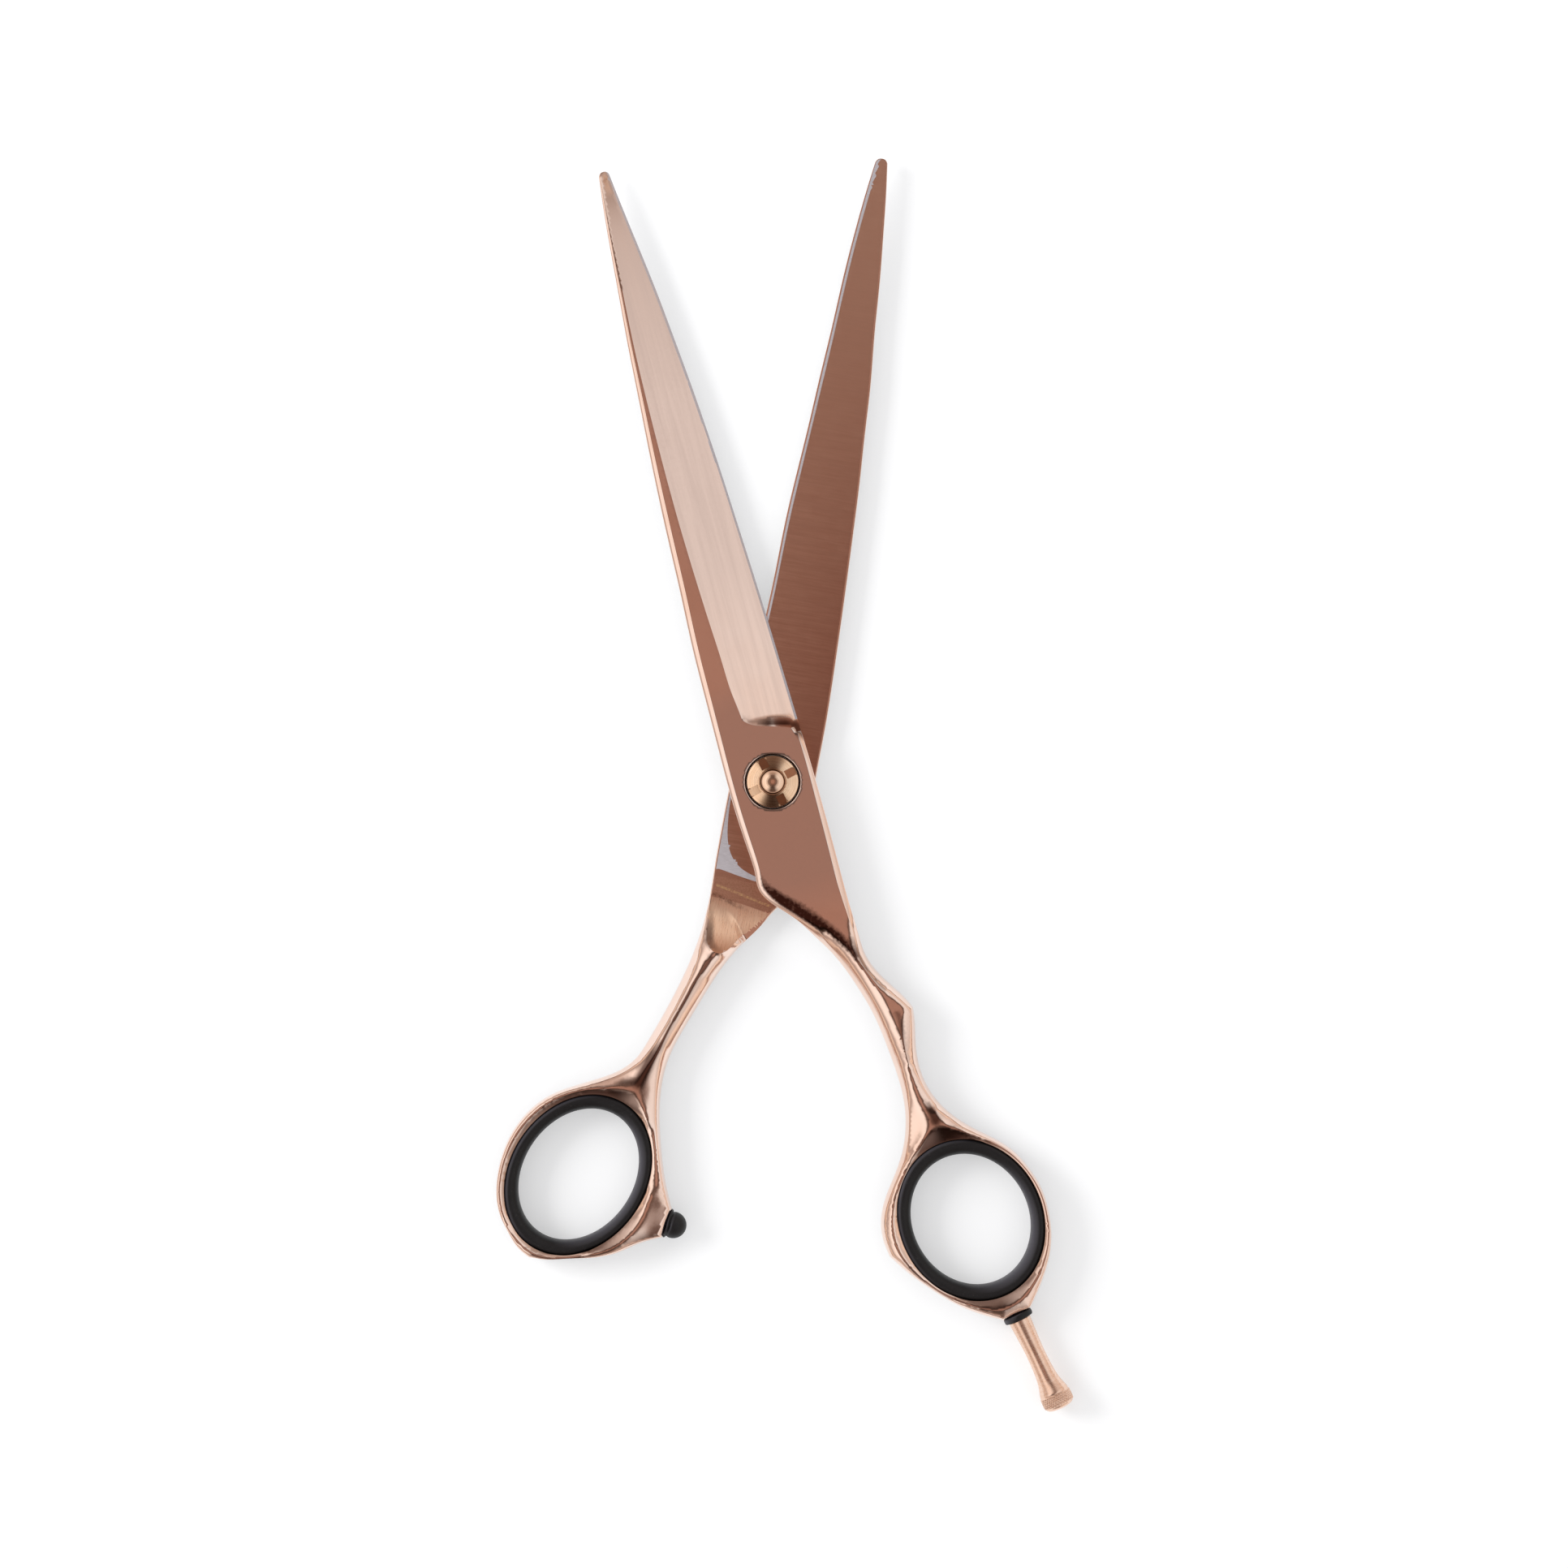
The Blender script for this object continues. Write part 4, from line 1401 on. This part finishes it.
# ---------------------------------------------------------------- materials
class Nodes:
    """Short names for building a node tree."""

    def __init__(self, name):
        self.mat = bpy.data.materials.new(name)
        self.mat.use_nodes = True
        self.t = self.mat.node_tree
        self.bsdf = self.t.nodes["Principled BSDF"]

    def new(self, kind, **kw):
        n = self.t.nodes.new(kind)
        for k, v in kw.items():
            setattr(n, k, v)
        return n

    def link(self, a, b):
        self.t.links.new(a, b)

    def val(self, x):
        if isinstance(x, (int, float)):
            n = self.new("ShaderNodeValue")
            n.outputs[0].default_value = x
            return n.outputs[0]
        return x

    def math(self, op, a, b=None, c=None, clamp=False):
        n = self.new("ShaderNodeMath", operation=op, use_clamp=clamp)
        for i, x in enumerate((a, b, c)):
            if x is None:
                continue
            if isinstance(x, (int, float)):
                n.inputs[i].default_value = x
            else:
                self.link(x, n.inputs[i])
        return n.outputs[0]

    def attr(self, name):
        n = self.new("ShaderNodeAttribute", attribute_name=name)
        return n

    def rgb(self, c):
        n = self.new("ShaderNodeRGB")
        n.outputs[0].default_value = (*c, 1)
        return n.outputs[0]

    def mix(self, f, a, b):
        n = self.new("ShaderNodeMix", data_type="RGBA")
        for s, x in ((n.inputs[0], f), (n.inputs[6], a), (n.inputs[7], b)):
            if isinstance(x, (int, float)):
                s.default_value = x
            elif isinstance(x, tuple):
                s.default_value = (*x, 1)
            else:
                self.link(x, s)
        return n.outputs[2]

    def mixf(self, f, a, b):
        n = self.new("ShaderNodeMix", data_type="FLOAT")
        for s, x in ((n.inputs[0], f), (n.inputs[2], a), (n.inputs[3], b)):
            if isinstance(x, (int, float)):
                s.default_value = x
            else:
                self.link(x, s)
        return n.outputs[0]

    def noise(self, vec, scale, detail=2.0, rough=0.5, dim="3D"):
        n = self.new("ShaderNodeTexNoise", noise_dimensions=dim)
        n.inputs["Scale"].default_value = scale
        n.inputs["Detail"].default_value = detail
        n.inputs["Roughness"].default_value = rough
        if vec is not None:
            self.link(vec, n.inputs["Vector"])
        return n.outputs["Fac"]

    def scale(self, vec, s):
        n = self.new("ShaderNodeVectorMath", operation="MULTIPLY")
        self.link(vec, n.inputs[0])
        n.inputs[1].default_value = s
        return n.outputs[0]

    def ramp(self, f, stops):
        n = self.new("ShaderNodeValToRGB")
        e = n.color_ramp.elements
        while len(e) < len(stops):
            e.new(0.5)
        for el, (p, c) in zip(e, stops):
            el.position = p
            el.color = (*c, 1) if isinstance(c, tuple) else (c, c, c, 1)
        self.link(f, n.inputs[0])
        return n.outputs[0]

    def remap(self, f, a, b, c=0.0, d=1.0):
        n = self.new("ShaderNodeMapRange")
        self.link(f, n.inputs[0])
        for i, x in zip((1, 2, 3, 4), (a, b, c, d)):
            n.inputs[i].default_value = x
        return n.outputs[0]

    def bump(self, height, strength, distance):
        n = self.new("ShaderNodeBump")
        n.inputs["Strength"].default_value = strength
        n.inputs["Distance"].default_value = distance
        self.link(height, n.inputs["Height"])
        return n.outputs[0]

    def set(self, name, x):
        s = self.bsdf.inputs[name]
        if isinstance(x, (int, float)):
            s.default_value = x
        elif isinstance(x, tuple):
            s.default_value = (*x, 1)
        else:
            self.link(x, s)


def lin(r, g, b):
    def f(c):
        c /= 255.0
        return c / 12.92 if c <= 0.04045 else ((c + 0.055) / 1.055) ** 2.4
    return (f(r), f(g), f(b))


ROSE = lin(243, 219, 206)
ROSE_DEEP = lin(237, 208, 192)


def plated_steel(name, blade=True):
    """Rose plated steel: mirror polish with faint haze and swirl marks, satin copper inside, grey honed land."""
    m = Nodes(name)
    tc = m.new("ShaderNodeTexCoord")
    obj = tc.outputs["Object"]
    mm = m.scale(obj, (1000, 1000, 1000))
    cloud = m.noise(mm, 0.09, 3.0, 0.5)
    fine = m.noise(mm, 2.2, 4.0, 0.6)
    col = m.mix(m.remap(cloud, 0.35, 0.65), ROSE, ROSE_DEEP)
    rough = m.math("ADD", m.remap(fine, 0.3, 0.7, 0.10, 0.16), m.remap(cloud, 0.3, 0.7, -0.015, 0.03))
    # hairline wipe marks
    su = m.attr("su").outputs["Vector"]
    along = m.scale(su, (0.25, 9.0, 1.0))
    hair = m.noise(along, 1.6, 3.0, 0.7)
    wipe = m.noise(m.scale(mm, (1.0, 1.0, 1.0)), 14.0, 2.0, 0.5)
    hgt = m.math("ADD", m.math("MULTIPLY", hair, 0.35), m.math("MULTIPLY", wipe, 0.12))
    if blade:
        satin = m.attr("satin").outputs["Fac"]
        hone = m.attr("hone").outputs["Fac"]
        scoop = m.attr("scoop").outputs["Fac"]
        sep = m.new("ShaderNodeSeparateXYZ")
        m.link(su, sep.inputs[0])
        # satin copper: fine lines across the blade, darker towards the spine
        across = m.scale(su, (13.0, 0.35, 1.0))
        lines = m.noise(across, 1.0, 5.0, 0.75)
        lines2 = m.noise(m.scale(su, (3.0, 0.12, 1.0)), 1.0, 4.0, 0.6)
        grit = m.noise(mm, 7.0, 3.0, 0.7)
        shade = m.remap(sep.outputs["Y"], -6.5, 6.8, 0.0, 1.0)
        c1 = m.mix(shade, lin(206, 158, 136), lin(180, 130, 110))
        c2 = m.mix(m.remap(lines, 0.3, 0.7), c1, m.mix(shade, lin(218, 172, 150), lin(192, 142, 121)))
        satin_col = m.mix(m.math("MULTIPLY", m.remap(lines2, 0.35, 0.65), 0.3), c2, lin(160, 114, 96))
        satin_col = m.mix(m.remap(sep.outputs["X"], 20.0, 98.0), satin_col, lin(226, 186, 164))
        # scoop: fan brushed
        fan = m.noise(m.scale(su, (0.5, 7.0, 1.0)), 1.0, 5.0, 0.7)
        scoop_col = m.mix(m.remap(fan, 0.3, 0.7), lin(226, 178, 146), lin(252, 216, 186))
        scoop_col = m.mix(m.remap(sep.outputs["X"], -18.6, -22.4), lin(186, 138, 114), scoop_col)
        scoop_col = m.mix(m.remap(sep.outputs["X"], -24.6, -28.0), scoop_col, lin(182, 124, 92))
        hone_col = m.mix(m.remap(m.noise(m.scale(su, (10.0, 1.2, 1.0)), 1.0, 4.0, 0.7), 0.3, 0.7), lin(170, 163, 166), lin(192, 186, 190))
        crease = m.attr("crease").outputs["Fac"]
        spark = m.noise(m.scale(su, (2.0, 3.0, 1.0)), 1.0, 3.0, 0.7)
        col = m.mix(satin, col, satin_col)
        col = m.mix(scoop, col, scoop_col)
        col = m.mix(hone, col, hone_col)
        col = m.mix(m.math("MULTIPLY", crease, m.remap(spark, 0.38, 0.55)), col, lin(255, 226, 170))
        plain = m.math("SUBTRACT", 1.0, m.math("MAXIMUM", satin, m.math("MAXIMUM", hone, scoop)))
        flat = m.math("MULTIPLY", m.remap(sep.outputs["Z"], 6.5, 6.59), m.remap(sep.outputs["X"], -22.0, -16.0))
        col = m.mix(m.math("MULTIPLY", plain, flat), col, lin(226, 206, 196))
        ground = m.math("MULTIPLY", m.attr("ground").outputs["Fac"], m.remap(sep.outputs["X"], 12.0, 34.0, 0.15, 1.0))
        face_col = m.mix(m.remap(sep.outputs["X"], 62.0, 97.0), lin(228, 204, 192), lin(196, 170, 156))
        col = m.mix(m.math("MULTIPLY", plain, ground), col, face_col)
        streak = m.noise(m.scale(su, (0.03, 0.85, 0.0)), 1.0, 3.0, 0.6)
        col = m.mix(m.math("MULTIPLY", m.attr("ground").outputs["Fac"], m.remap(streak, 0.40, 0.66, 0.0, 0.34)), col, lin(200, 178, 168))
        shd = m.attr("shade").outputs["Fac"]
        rag = m.noise(mm, 1.7, 4.0, 0.65)
        shf = m.remap(m.math("ADD", shd, m.math("MULTIPLY", m.math("SUBTRACT", rag, 0.5), 0.9)), 0.25, 0.95)
        col = m.mix(shf, col, lin(76, 50, 44))
        below = m.math("MULTIPLY", satin, m.remap(sep.outputs["X"], -15.5, -16.3))
        col = m.mix(m.math("MULTIPLY", below, m.remap(m.noise(mm, 4.0, 3.0, 0.8), 0.38, 0.62, 0.15, 0.75)), col, lin(226, 182, 156))
        spk = m.math("MULTIPLY", m.attr("speckle").outputs["Fac"], m.remap(m.noise(m.scale(mm, (1.0, 0.6, 1.0)), 2.6, 3.0, 0.7), 0.42, 0.55))
        col = m.mix(m.math("MULTIPLY", spk, 0.75), col, lin(96, 62, 50))
        dk = m.attr("dark").outputs["Fac"]
        col = m.mix(dk, col, lin(74, 46, 38))
        gap = m.math("MULTIPLY", m.remap(m.attr("cbore").outputs["Fac"], 0.0, 1.0), 0.55)
        col = m.mix(gap, col, lin(176, 112, 78))
        rough = m.mixf(satin, rough, m.remap(lines, 0.3, 0.7, 0.30, 0.42))
        rough = m.mixf(scoop, rough, m.remap(fan, 0.3, 0.7, 0.24, 0.38))
        rough = m.mixf(hone, rough, 0.45)
        hgt = m.mixf(satin, hgt, m.math("MULTIPLY", lines, 2.6))
        hgt = m.mixf(scoop, hgt, m.math("MULTIPLY", fan, 3.0))
        hgt = m.mixf(hone, hgt, m.math("MULTIPLY", grit, 1.5))
    lp = m.new("ShaderNodeLightPath")
    m.set("Base Color", m.mix(lp.outputs["Is Diffuse Ray"], col, (0.55, 0.55, 0.55)))
    m.set("Metallic", m.math("SUBTRACT", 1.0, m.math("MAXIMUM", m.math("MULTIPLY", hone, 0.8), m.math("MULTIPLY", scoop, 0.4))))
    m.set("Roughness", rough)
    m.link(m.bump(hgt, 0.30, 0.00001), m.bsdf.inputs["Normal"])
    return m.mat


def turned_metal(name, light, dark, rings=9.0, rough=0.22, aniso=0.75, bump=0.5, axis=None):
    """Turned metal: fine rings, with the streaked highlight that a lathe finish gives."""
    m = Nodes(name)
    tc = m.new("ShaderNodeTexCoord")
    mm = m.scale(tc.outputs["Object"], (1000, 1000, 1000))
    sep = m.new("ShaderNodeSeparateXYZ")
    m.link(mm, sep.inputs[0])
    r = m.math("SQRT", m.math("ADD", m.math("MULTIPLY", sep.outputs["X"], sep.outputs["X"]), m.math("MULTIPLY", sep.outputs["Y"], sep.outputs["Y"])))
    comb = m.new("ShaderNodeCombineXYZ")
    m.link(r, comb.inputs[0])
    m.link(m.math("MULTIPLY", sep.outputs["Z"], 0.6), comb.inputs[2])
    ringn = m.noise(comb.outputs[0], rings, 3.0, 0.7)
    cloud = m.noise(mm, 0.8, 2.0, 0.5)
    col = m.mix(m.remap(ringn, 0.3, 0.7), dark, light)
    col = m.mix(m.math("MULTIPLY", m.remap(cloud, 0.35, 0.65), 0.3), col, dark)
    col = m.mix(m.attr("dark").outputs["Fac"], col, lin(120, 82, 56))
    m.set("Base Color", col)
    m.set("Metallic", 1.0)
    m.set("Roughness", m.math("ADD", m.remap(ringn, 0.3, 0.7, rough - 0.04, rough + 0.05), 0.0))
    m.set("Anisotropic", aniso)
    tg = m.new("ShaderNodeTangent", direction_type="RADIAL", axis="Z")
    m.link(tg.outputs[0], m.bsdf.inputs["Tangent"])
    m.link(m.bump(ringn, bump, 0.00003), m.bsdf.inputs["Normal"])
    return m.mat


def rubber(name, base=(19, 18, 20)):
    """Matte moulded rubber: fine grain, a little dust in the low spots."""
    m = Nodes(name)
    tc = m.new("ShaderNodeTexCoord")
    mm = m.scale(tc.outputs["Object"], (1000, 1000, 1000))
    grain = m.noise(mm, 9.0, 4.0, 0.6)
    cloud = m.noise(mm, 0.5, 3.0, 0.5)
    speck = m.noise(mm, 3.5, 1.0, 0.5)
    c = m.mix(m.remap(grain, 0.3, 0.7), lin(*[x - 6 for x in base]), lin(*[x + 5 for x in base]))
    c = m.mix(m.math("MULTIPLY", m.remap(cloud, 0.4, 0.75), 0.25), c, lin(34, 33, 34))
    nrm = m.new("ShaderNodeNewGeometry")
    ns = m.new("ShaderNodeSeparateXYZ")
    m.link(nrm.outputs["Normal"], ns.inputs[0])
    facing = m.math("ADD", m.math("MULTIPLY", ns.outputs["X"], -0.9), m.math("MULTIPLY", ns.outputs["Y"], 0.35))
    c = m.mix(m.remap(facing, 0.1, 0.75), c, lin(72, 70, 76))
    c = m.mix(m.remap(facing, -0.05, -0.6), c, lin(8, 8, 9))
    c = m.mix(m.math("MULTIPLY", m.remap(speck, 0.68, 0.74), 0.35), c, lin(60, 58, 55))
    m.set("Base Color", c)
    m.set("Roughness", m.remap(grain, 0.3, 0.7, 0.42, 0.54))
    m.set("Specular IOR Level", 0.34)
    m.link(m.bump(m.math("ADD", grain, m.math("MULTIPLY", cloud, 0.6)), 0.35, 0.00006), m.bsdf.inputs["Normal"])
    return m.mat


def plain_metal(name, c, r):
    m = Nodes(name)
    tc = m.new("ShaderNodeTexCoord")
    mm = m.scale(tc.outputs["Object"], (1000, 1000, 1000))
    n = m.noise(mm, 3.0, 4.0, 0.6)
    m.set("Base Color", m.mix(m.remap(n, 0.3, 0.7), lin(*c), lin(*[max(0, x - 22) for x in c])))
    m.set("Metallic", 1.0)
    m.set("Roughness", m.remap(n, 0.3, 0.7, r - 0.05, r + 0.07))
    m.link(m.bump(n, 0.3, 0.00003), m.bsdf.inputs["Normal"])
    return m.mat


def nylon(name):
    m = Nodes(name)
    tc = m.new("ShaderNodeTexCoord")
    mm = m.scale(tc.outputs["Object"], (1000, 1000, 1000))
    n = m.noise(mm, 4.0, 3.0, 0.6)
    m.set("Base Color", m.mix(m.remap(n, 0.3, 0.7), lin(226, 222, 212), lin(208, 204, 194)))
    m.set("Roughness", m.remap(n, 0.3, 0.7, 0.38, 0.5))
    m.set("Subsurface Weight", 0.15)
    m.link(m.bump(n, 0.25, 0.00003), m.bsdf.inputs["Normal"])
    return m.mat


MAT_STEEL = plated_steel("rose_plated_steel")
MAT_NUT = turned_metal("turned_gold_bronze", lin(250, 222, 194), lin(230, 190, 154), rough=0.15, aniso=0.3)
MAT_STUD = turned_metal("polished_stud", lin(248, 220, 198), lin(230, 194, 166), rings=5.0, rough=0.16, aniso=0.2, bump=0.2)
MAT_REST = turned_metal("satin_rose_rest", lin(250, 222, 204), lin(230, 192, 168), rings=3.0, rough=0.28, aniso=0.0, bump=0.25)
MAT_RUBBER = rubber("black_rubber_grain")
MAT_SPRING = plain_metal("spring_steel_grain", (176, 174, 170), 0.28)
MAT_BUSH = plain_metal("bushing_bronze", (196, 158, 112), 0.3)
MAT_NYLON = nylon("white_nylon_grain")

for ob, mat in ((finger_half, MAT_STEEL), (thumb_half, MAT_STEEL), (nut, MAT_NUT), (stud, MAT_STUD), (rest, MAT_REST), (finger_insert, MAT_RUBBER), (thumb_insert, MAT_RUBBER), (washer, MAT_RUBBER), (bumper, MAT_RUBBER)):
    ob.data.materials.append(mat)
for node, mat in (("pivot_bushing", MAT_BUSH), ("friction_washer", MAT_NYLON), ("spring_washer", MAT_SPRING), ("nut_lock_ring", MAT_NYLON)):
    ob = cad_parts[node]
    if not ob.material_slots:
        ob.data.materials.append(mat)
    for sl in ob.material_slots:
        sl.material = mat

# ---------------------------------------------------------------- floor, light and camera
floor_mesh = bpy.data.meshes.new("floor")
fb = bmesh.new()
bmesh.ops.create_grid(fb, x_segments=4, y_segments=4, size=2.5)
fb.to_mesh(floor_mesh)
fb.free()
floor = bpy.data.objects.new("floor", floor_mesh)
floor.location = (0, 0, -0.00004)
bpy.context.scene.collection.objects.link(floor)
fm = Nodes("pale_floor")
fm.set("Roughness", 0.9)
fm.set("Specular IOR Level", 0.0)
fm.set("Base Color", (0.66, 0.66, 0.662))
fm.set("Emission Color", (1.0, 1.0, 1.0))
fm.set("Emission Strength", 0.37)
floor.data.materials.append(fm.mat)

scene = bpy.context.scene
world = bpy.data.worlds.new("studio")
scene.world = world
world.use_nodes = True
wt = world.node_tree
for n in list(wt.nodes):
    wt.nodes.remove(n)


class WN(Nodes):
    def __init__(self, tree):
        self.t = tree


w = WN(wt)
out = w.new("ShaderNodeOutputWorld")
bg = w.new("ShaderNodeBackground")
w.link(bg.outputs[0], out.inputs[0])
geo = w.new("ShaderNodeTexCoord")
sep = w.new("ShaderNodeSeparateXYZ")
w.link(geo.outputs["Generated"], sep.inputs[0])
Z = w.math("ABSOLUTE", sep.outputs["Z"])
hx = w.math("ABSOLUTE", sep.outputs["X"])
hyp = w.math("SQRT", w.math("ADD", w.math("ADD", w.math("MULTIPLY", sep.outputs["X"], sep.outputs["X"]), w.math("MULTIPLY", sep.outputs["Y"], sep.outputs["Y"])), 1e-6))
side = w.math("DIVIDE", hx, hyp)
sidef = w.remap(side, 0.28, 0.66)
BROWN = (0.44, 0.256, 0.20)
DK = (0.11, 0.068, 0.055)
left = w.ramp(Z, [(0.0, (0.20, 0.14, 0.12)), (0.07, (0.45, 0.32, 0.27)), (0.15, (0.98, 0.78, 0.62)), (0.23, (0.90, 0.74, 0.64)), (0.33, (0.50, 0.405, 0.365)), (0.45, (0.54, 0.45, 0.41)), (0.56, (0.88, 0.79, 0.74)), (0.66, (1.16, 1.07, 1.02)), (0.80, (1.24, 1.16, 1.11)), (0.88, (1.12, 1.04, 1.0)), (0.915, (0.46, 0.35, 0.30)), (0.94, (0.14, 0.088, 0.072)), (0.972, DK), (0.986, BROWN), (1.0, BROWN)])
right = w.ramp(Z, [(0.0, (0.20, 0.14, 0.12)), (0.07, (0.40, 0.28, 0.23)), (0.15, (0.95, 0.75, 0.60)), (0.26, (1.02, 0.86, 0.75)), (0.40, (0.72, 0.64, 0.60)), (0.55, (0.88, 0.82, 0.79)), (0.70, (0.98, 0.94, 0.92)), (0.80, (0.96, 0.935, 0.925)), (0.885, (0.93, 0.905, 0.895)), (0.91, (0.50, 0.42, 0.39)), (0.93, (0.26, 0.18, 0.155)), (0.945, (0.14, 0.088, 0.072)), (0.972, DK), (0.986, BROWN), (1.0, BROWN)])
far = w.ramp(Z, [(0.0, (0.14, 0.095, 0.08)), (0.10, (0.24, 0.17, 0.145)), (0.28, (0.56, 0.45, 0.40)), (0.50, (0.60, 0.48, 0.43)), (0.70, (0.64, 0.51, 0.45)), (0.80, (0.34, 0.245, 0.21)), (0.88, (0.15, 0.098, 0.08)), (0.972, DK), (0.986, BROWN), (1.0, BROWN)])
near = w.ramp(Z, [(0.0, (0.12, 0.085, 0.075)), (0.10, (0.24, 0.17, 0.15)), (0.26, (0.66, 0.54, 0.48)), (0.46, (0.34, 0.245, 0.21)), (0.70, (0.12, 0.078, 0.063)), (0.88, (0.075, 0.048, 0.038)), (0.972, DK), (0.986, BROWN), (1.0, BROWN)])
ysign = w.remap(w.math("DIVIDE", sep.outputs["Y"], hyp), -0.4, 0.4)
xsign = w.remap(w.math("DIVIDE", sep.outputs["X"], hyp), -0.3, 0.3)
seen = w.mix(sidef, w.mix(ysign, near, far), w.mix(xsign, left, right))
lp = w.new("ShaderNodeLightPath")
neutral = w.rgb((0.80, 0.80, 0.81))
colr = w.mix(lp.outputs["Is Glossy Ray"], neutral, seen)
w.link(colr, bg.inputs["Color"])
bg.inputs["Strength"].default_value = 1.0


def area(name, loc, target, size, power, colour=(1, 1, 1)):
    l = bpy.data.lights.new(name, "AREA")
    l.shape = "SQUARE"
    l.size = size
    l.energy = power
    l.color = colour
    o = bpy.data.objects.new(name, l)
    o.location = loc
    o.rotation_euler = (Vector(target) - Vector(loc)).to_track_quat("-Z", "Y").to_euler()
    scene.collection.objects.link(o)
    o.visible_glossy = False
    return o


area("key_soft", (-0.85, 0.22, 0.62), (0, 0, 0), 0.5, 6.4)

target = Vector((0.00178, -0.00036, 0.0033))
dist = 0.935
cam_data = bpy.data.cameras.new("camera")
cam_data.sensor_width = 36.0
cam_data.lens = 36.0 * dist / 0.2461
cam_data.clip_start = 0.01
cam_data.clip_end = 20
cam = bpy.data.objects.new("camera", cam_data)
cam.location = target + Vector((0, 0, dist))
cam.rotation_euler = (0, 0, 0)
scene.collection.objects.link(cam)
scene.camera = cam
scene.view_settings.view_transform = "Standard"
